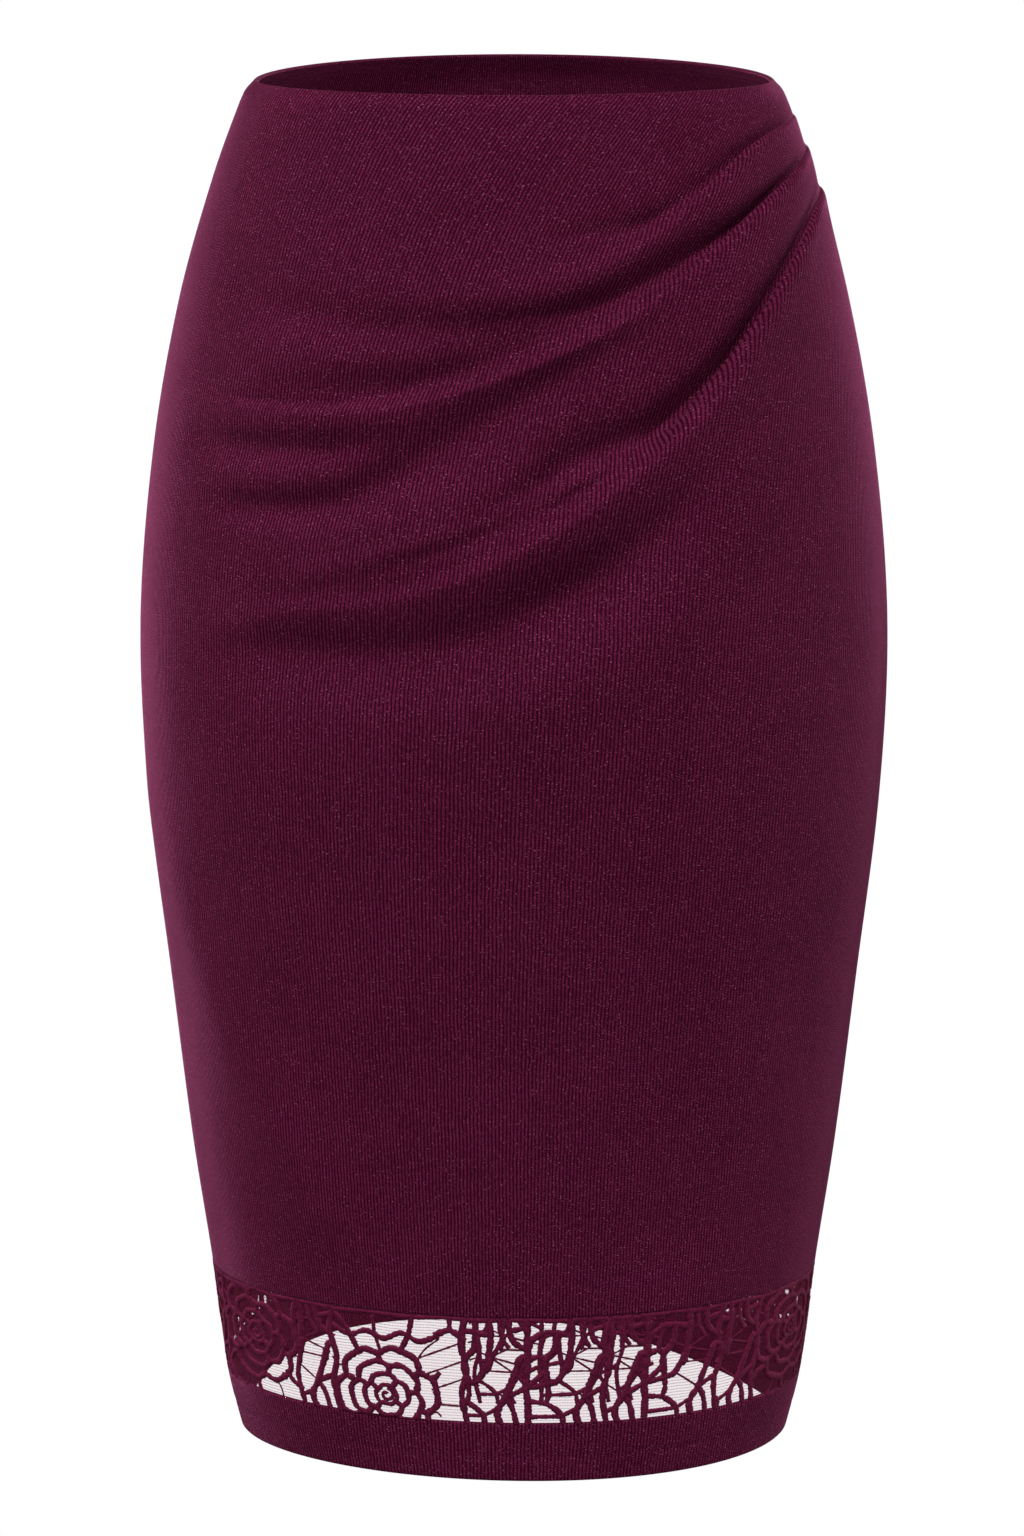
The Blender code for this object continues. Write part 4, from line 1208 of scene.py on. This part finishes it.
@dataclass
class LaceChart:
    """The lace's cords in the flat, in millimetres."""

    layout: Sequence[tuple[str, float]]
    runs: list[Run] = field(default_factory=list)
    width: float = 0.0

    def __post_init__(self) -> None:
        """Lays the motifs side by side."""
        for motif, start in self.layout:
            if start > 0 or "rose" in motif:
                self.trunk()
            if motif == "leaf":
                self.charted(LEAF_POINTS, LEAF_CORDS, start, self.width)
                self.width += LEAF_WIDTH - start
            elif motif == "bars":
                self.charted(BARS_POINTS, BARS_CORDS, -BARS_REACH, self.width - BARS_REACH)
                self.width += BARS_WIDTH
            else:
                self.rose(LOW_ROSE if motif == "low rose" else HIGH_ROSE)
                if motif == "low rose":
                    self.charted(WAVE_POINTS, WAVE_CORDS, 0.0, self.width)
                self.width += ROSE_WIDTH

    def charted(
        self,
        points: dict[str, Point2],
        cords: Iterable[tuple[float, str]],
        start: float,
        left: float,
    ) -> None:
        """Adds a charted repeat, cut at start and moved so that start lies at left."""
        for half, names in cords:
            run = self.cut([points[name] for name in names], start)
            if len(run) > 1:
                self.runs.append((half, [(x - start + left, y) for x, y in run]))

    @staticmethod
    def cut(points: Sequence[Point2], start: float) -> list[Point2]:
        """The part of a run at or past a point across its repeat."""
        kept = []
        for first, second in zip(points, points[1:]):
            if first[0] >= start:
                kept.append(first)
            if (first[0] < start) != (second[0] < start):
                part = (start - first[0]) / (second[0] - first[0])
                kept.append((start, first[1] + part * (second[1] - first[1])))
        if points[-1][0] >= start:
            kept.append(points[-1])
        return kept

    def trunk(self) -> None:
        """Adds the upright cord that starts a repeat."""
        sway = [self.width + TRUNK_BEND * (-1) ** i for i in range(len(TRUNK_HEIGHTS))]
        self.runs.append((TRUNK_HALF_CORD, list(zip(sway, TRUNK_HEIGHTS))))

    def rose(self, height: float) -> None:
        """Adds a rose: rings of petals, cords that join them, a curled heart and rays."""
        centre, inner = Vector((self.width + ROSE_WIDTH / 2, height)), 0.0

        def spot(radius: float, degrees: float) -> Point2:
            angle = math.radians(degrees)
            return (centre.x + radius * math.cos(angle), centre.y + radius * math.sin(angle))

        for radius, petals, first, half in ROSE_RINGS:
            step = 360 / petals / PETAL_SPOTS
            for petal in range(petals):
                start = first + petal * step * PETAL_SPOTS
                arc = [spot(radius * PETAL_DIP, start)]
                arc += [spot(radius, start + i * step) for i in range(1, PETAL_SPOTS)]
                arc.append(spot(radius * PETAL_DIP, start + PETAL_SPOTS * step))
                self.runs.append((half, arc))
                if inner:
                    self.runs.append((half, [spot(inner * PETAL_FOOT, start), arc[0]]))
            inner = radius
        curl = [
            spot(CURL_RADIUS + CURL_GROWTH * i, CURL_ANGLE + CURL_TURN * i)
            for i in range(CURL_SPOTS)
        ]
        self.runs.append((CURL_HALF_CORD, curl))
        for index, (degrees, half) in enumerate(ROSE_RAYS):
            out = Vector((math.cos(math.radians(degrees)), math.sin(math.radians(degrees))))
            start = centre + out * RAY_FOOT * inner
            room = (LACE_HEIGHT - height if out.y > 0 else height) + OVERRUN
            length = min((ROSE_WIDTH / 2 + OVERRUN) / abs(out.x), room / abs(out.y))
            if length > SHORTEST_RAY * inner and start.y > 0:
                end = centre + out * length
                side = Vector((-out.y, out.x)) * RAY_SWAY * (-1) ** index
                middle = start.lerp(end, 0.5) + side
                self.runs.append((half, [tuple(start), tuple(middle), tuple(end)]))


def smooth_run(points: Sequence[Point2], step: float) -> np.ndarray:
    """Points at close steps on a smooth curve through a run."""
    places = np.array(points, float)
    if len(places) == 2:
        count = max(2, math.ceil(np.linalg.norm(places[1] - places[0]) / step) + 1)
        return places[0] + (places[1] - places[0]) * np.linspace(0, 1, count)[:, None]
    spans = np.linalg.norm(np.diff(places, axis=0), axis=1)
    keys = np.r_[0, np.cumsum(np.sqrt(spans))]
    fine = []
    for i, span in enumerate(spans):
        count = max(2, math.ceil(span / step))
        fine.append(keys[i] + (keys[i + 1] - keys[i]) * np.arange(count) / count)
    fine = np.r_[np.concatenate(fine), keys[-1]]
    return smooth_columns(np.c_[keys, places], fine)


@dataclass
class LaceBand:
    """Half of the lace band: raised cords on a sheer net."""

    name: str
    half: Half
    layout: Sequence[tuple[str, float]]
    fillings: Sequence[Row]
    filling_cords: Point2
    step: float
    fine: float = 0.5
    thinnest: float = 0.50
    thicker: float = 0.35
    flatness: float = 0.42
    ragged: float = 0.16
    shake: float = 0.35
    wave_scale: float = 0.35
    wave_spread: float = 9.0
    wave_depth: float = 0.22
    seed: int = 7
    overhang: float = 0.3
    margin: float = 0.05
    border: float = 0.9
    border_drop: float = 1.2
    border_sway: float = 0.4
    border_length: float = 5.3
    cord_rise: float = -0.45 * MM
    net_rise: float = -0.60 * MM
    net_wall: float = 0.15 * MM
    net_tuck: float = 0.4
    net_columns: int = 150
    net_rows: int = 24

    def place(self, flat: np.ndarray, width: float, rise: float) -> np.ndarray:
        """Bends flat chart points, in millimetres with a height, on to the band."""
        share = FORM.share_at(self.half, (LACE_TOP + BAND_TOP) / 2, flat[:, 0] / width)
        drop = BAND_TOP - flat[:, 1] * MM
        return FORM.cloth(self.half, share, drop, rise + flat[:, 2] * MM)

    def paths(self, chart: LaceChart) -> Iterable[tuple[float, np.ndarray]]:
        """The cords' lines in the flat: the chart's, the fillings' and a border above."""
        for half, run in chart.runs:
            path = smooth_run(run, self.step)
            inside = (path[:, 0] > -self.overhang) & (path[:, 0] < chart.width + self.overhang)
            yield half, path[inside]
            for across, up, start, end in self.fillings:
                x, y = (path + (across, up)).T
                kept = (x > start) & (x < end) & (y > 0) & (y < LACE_HEIGHT)
                yield float(np.clip(half, *self.filling_cords)), np.c_[x, y][kept]
        x = np.linspace(0.0, chart.width, round(chart.width / self.step))
        sway = self.border_sway * np.sin(x / self.border_length)
        yield self.border, np.c_[x, LACE_HEIGHT - self.border_drop + sway]

    def cords(self, material: bpy.types.Material) -> bpy.types.Object:
        """Makes the raised cords.

        Args:
            material: The cord's finish.

        Returns:
            One object with every cord of this half.
        """
        chart = LaceChart(self.layout)
        curve = bpy.data.curves.new(self.name + "_line", "CURVE")
        curve.dimensions = "3D"
        curve.bevel_depth, curve.bevel_resolution, curve.use_fill_caps = 1.0, 1, True
        rng = np.random.default_rng(self.seed)
        for half, path in self.paths(chart):
            if len(path) < 2:
                continue
            slim = self.thinnest if half <= self.fine else half + self.thicker
            spline = curve.splines.new("POLY")
            spline.points.add(len(path) - 1)
            for point, spot in zip(spline.points, path):
                wave = noise.noise(Vector((*(spot * self.wave_scale), half * self.wave_spread)))
                shaken = spot + rng.uniform(-1, 1, 2) * self.ragged * self.shake
                point.co = (*shaken, 0.0, 1.0)
                uneven = 1 + self.wave_depth * wave + rng.uniform(-1, 1) * self.ragged
                point.radius = slim * uneven
        holder = bpy.data.objects.new(self.name + "_line", curve)
        bpy.context.scene.collection.objects.link(holder)
        mesh = bpy.data.meshes.new_from_object(holder)
        bpy.data.objects.remove(holder)
        flat = np.empty(len(mesh.vertices) * 3)
        mesh.vertices.foreach_get("co", flat)
        flat = flat.reshape(-1, 3)
        flat[:, 2] *= self.flatness
        flat[:, 0] = np.clip(flat[:, 0], 0.0, chart.width)
        flat[:, 1] = np.clip(flat[:, 1], self.margin, LACE_HEIGHT - self.margin)
        mesh.vertices.foreach_set("co", self.place(flat, chart.width, self.cord_rise).ravel())
        mesh.materials.clear()
        mesh.materials.append(material)
        mesh.shade_smooth()
        mesh.name = self.name + "_cords"
        piece = bpy.data.objects.new(self.name + "_cords", mesh)
        bpy.context.scene.collection.objects.link(piece)
        bm = bmesh.new()
        bm.from_mesh(mesh)
        bmesh.ops.recalc_face_normals(bm, faces=bm.faces)
        bm.to_mesh(mesh)
        bm.free()
        return piece

    def net(self, material: bpy.types.Material) -> bpy.types.Object:
        """Makes the net behind the cords, as a thin closed wall."""
        chart = LaceChart(self.layout)
        x, y = np.meshgrid(
            np.linspace(0, chart.width, self.net_columns + 1),
            np.linspace(LACE_HEIGHT + self.net_tuck, -self.net_tuck, self.net_rows + 1),
        )
        flat = np.stack([x, y, np.zeros_like(x)], -1)
        bm = bmesh.new()
        for rise, outward in ((self.net_rise, True), (self.net_rise - self.net_wall, False)):
            places = self.place(flat.reshape(-1, 3), chart.width, rise).reshape(flat.shape)
            skin(bm, places, flat[..., :2] * MM, outward)
        close_wall(bm)
        return make_object(bm, self.name + "_net", material)


class LampKind(Enum):
    """How a lamp shines."""

    SOFTBOX = "AREA"
    SKYLIGHT = "SUN"


@dataclass(frozen=True)
class Lamp:
    """A lamp that the camera doesn't see. A softbox's size is its sides, a skylight's its angle."""

    name: str
    kind: LampKind
    place: tuple[float, float, float]
    size: tuple[float, float]
    power: float
    aim: tuple[float, float, float] = (0.0, 0.0, -0.32)

    def build(self) -> None:
        """Adds the lamp."""
        lamp = bpy.data.lights.new(self.name, self.kind.value)
        lamp.energy = self.power
        if self.kind is LampKind.SOFTBOX:
            lamp.shape, lamp.size, lamp.size_y = "RECTANGLE", *self.size
        else:
            lamp.angle = self.size[0]
        holder = bpy.data.objects.new(self.name, lamp)
        bpy.context.scene.collection.objects.link(holder)
        holder.location = self.place
        away = Vector(self.place) - Vector(self.aim)
        holder.rotation_euler = away.to_track_quat("Z", "Y").to_euler()
        holder.visible_camera = False


@dataclass(frozen=True)
class Studio:
    """The white surroundings, the soft lights and the camera."""

    lens: float = 119.2
    camera_place: tuple[float, float, float] = (-0.00045, -2.320, 0.2476)
    pitch: float = 13.88
    shift_x: float = -0.00065
    sky: float = 0.22
    ground: float = 0.08
    lamps: Sequence[Lamp] = (
        Lamp("key", LampKind.SKYLIGHT, (-0.45, -1.75, 3.1), (0.16, 0.0), 3.35),
        Lamp("fill", LampKind.SOFTBOX, (0.2, -2.6, 0.0), (1.6, 1.0), 11.5),
        Lamp("low_fill", LampKind.SOFTBOX, (0.15, -1.5, -1.0), (1.2, 0.3), 5.0, (0.0, -0.1, -0.62)),
        Lamp("back_fill", LampKind.SOFTBOX, (0.3, 2.6, 0.7), (1.6, 1.0), 14.0),
        Lamp("left_rim", LampKind.SOFTBOX, (-1.7, 0.40, 0.20), (0.8, 1.4), 28.0),
        Lamp("right_rim", LampKind.SOFTBOX, (1.7, 0.38, -0.30), (0.8, 1.8), 26.0),
        Lamp("waist_fill", LampKind.SOFTBOX, (0, -0.045, -0.07), (0.14, 0.03), 0.08, (0, 0.09, 0)),
        Lamp("inner_fill", LampKind.SOFTBOX, (0, -0.03, -0.40), (0.16, 0.06), 0.6, (0, 0.12, -0.62)),
    )

    def surroundings(self) -> None:
        """Makes a world that shows white and lights softly, more from above."""
        n = Nodes(bpy.data.worlds.new("white_studio"))
        upward = n.add("SeparateXYZ", {0: n.add("TexCoord").outputs["Generated"]}).outputs[2]
        soft = n.ramp(upward, -0.6, 0.9, self.ground, self.sky)
        light = n.add("Background", {"Color": (1, 1, 1, 1), "Strength": soft})
        shown = n.add("Background", {"Color": (1, 1, 1, 1), "Strength": 1.0})
        seen = n.add("LightPath").outputs["Is Camera Ray"]
        mixed = n.add("MixShader", {0: seen, 1: light.outputs[0], 2: shown.outputs[0]})
        bpy.context.scene.world = n.finish(mixed.outputs[0])

    def build(self) -> None:
        """Makes the whole studio."""
        scene = bpy.context.scene
        scene.view_settings.view_transform = "Standard"
        self.surroundings()
        for lamp in self.lamps:
            lamp.build()
        camera = bpy.data.cameras.new("camera")
        camera.lens, camera.shift_x = self.lens, self.shift_x
        holder = bpy.data.objects.new("camera", camera)
        scene.collection.objects.link(holder)
        holder.location = self.camera_place
        holder.rotation_euler = (math.radians(90 - self.pitch), 0, 0)
        scene.camera = holder


def dress(piece: bpy.types.Object, slot: str, *nodes: str) -> bpy.types.Object:
    """Ties a piece to the body and hides the solids that it replaces."""
    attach(piece, BODY)
    if nodes:
        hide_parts(*nodes)
    log.info("%s: %d faces", piece.name, len(piece.data.polygons))
    return piece


def main() -> None:
    """Builds the skirt and its studio, and notes the sizes."""
    Studio().build()
    knit = KnitFinish().build()
    front = FrontPanel(
        "front_cloth", Half.FRONT, 0.0, LACE_TOP, 150, 130, 1.6 * MM, SOFT_FOLDS + FINE_FOLDS
    ).build(knit)
    back = BackPanel(
        "back_cloth", Half.BACK, 0.0, LACE_TOP, 110, 150, 1.6 * MM, BACK_SOFT_FOLDS + BACK_FINE_FOLDS
    ).build(knit)
    bands = {
        half: HemBand(name, half, BAND_TOP, HEM, 130, 18, 2.4 * MM, ()).build(knit)
        for half, name in ((Half.FRONT, "front_hem"), (Half.BACK, "back_hem"))
    }
    dress(front, "rib_knit", "front_panel")
    dress(back, "rib_knit", "back_panel")
    dress(bands[Half.FRONT], "rib_knit", "hem_band_front")
    dress(bands[Half.BACK], "rib_knit", "hem_band_back")
    cord, net = CordFinish().build(), NetFinish().build()
    front_lace = LaceBand(
        "front_lace", Half.FRONT, FRONT_LACE, FRONT_FILLINGS, FRONT_FILLING_CORDS, 0.8
    )
    back_lace = LaceBand(
        "back_lace", Half.BACK, BACK_LACE, BACK_FILLINGS, BACK_FILLING_CORDS, 0.95
    )
    for band, node, width in ((front_lace, "lace_front", 0.36), (back_lace, "lace_back", 0.44)):
        cords = dress(band.cords(cord), "lace", node)
        veil = dress(band.net(net), "lace")


def note_sizes() -> None:
    """Gathers the CAD box and the visual model's box as plain lists."""
    boxes = {"cad": CAD_BOX, "visual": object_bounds()}
    plain = {key: [[float(v) for v in corner] for corner in box] for key, box in boxes.items()}


if __name__ == "__main__":
    logging.basicConfig(level=logging.INFO)
    main()
    note_sizes()
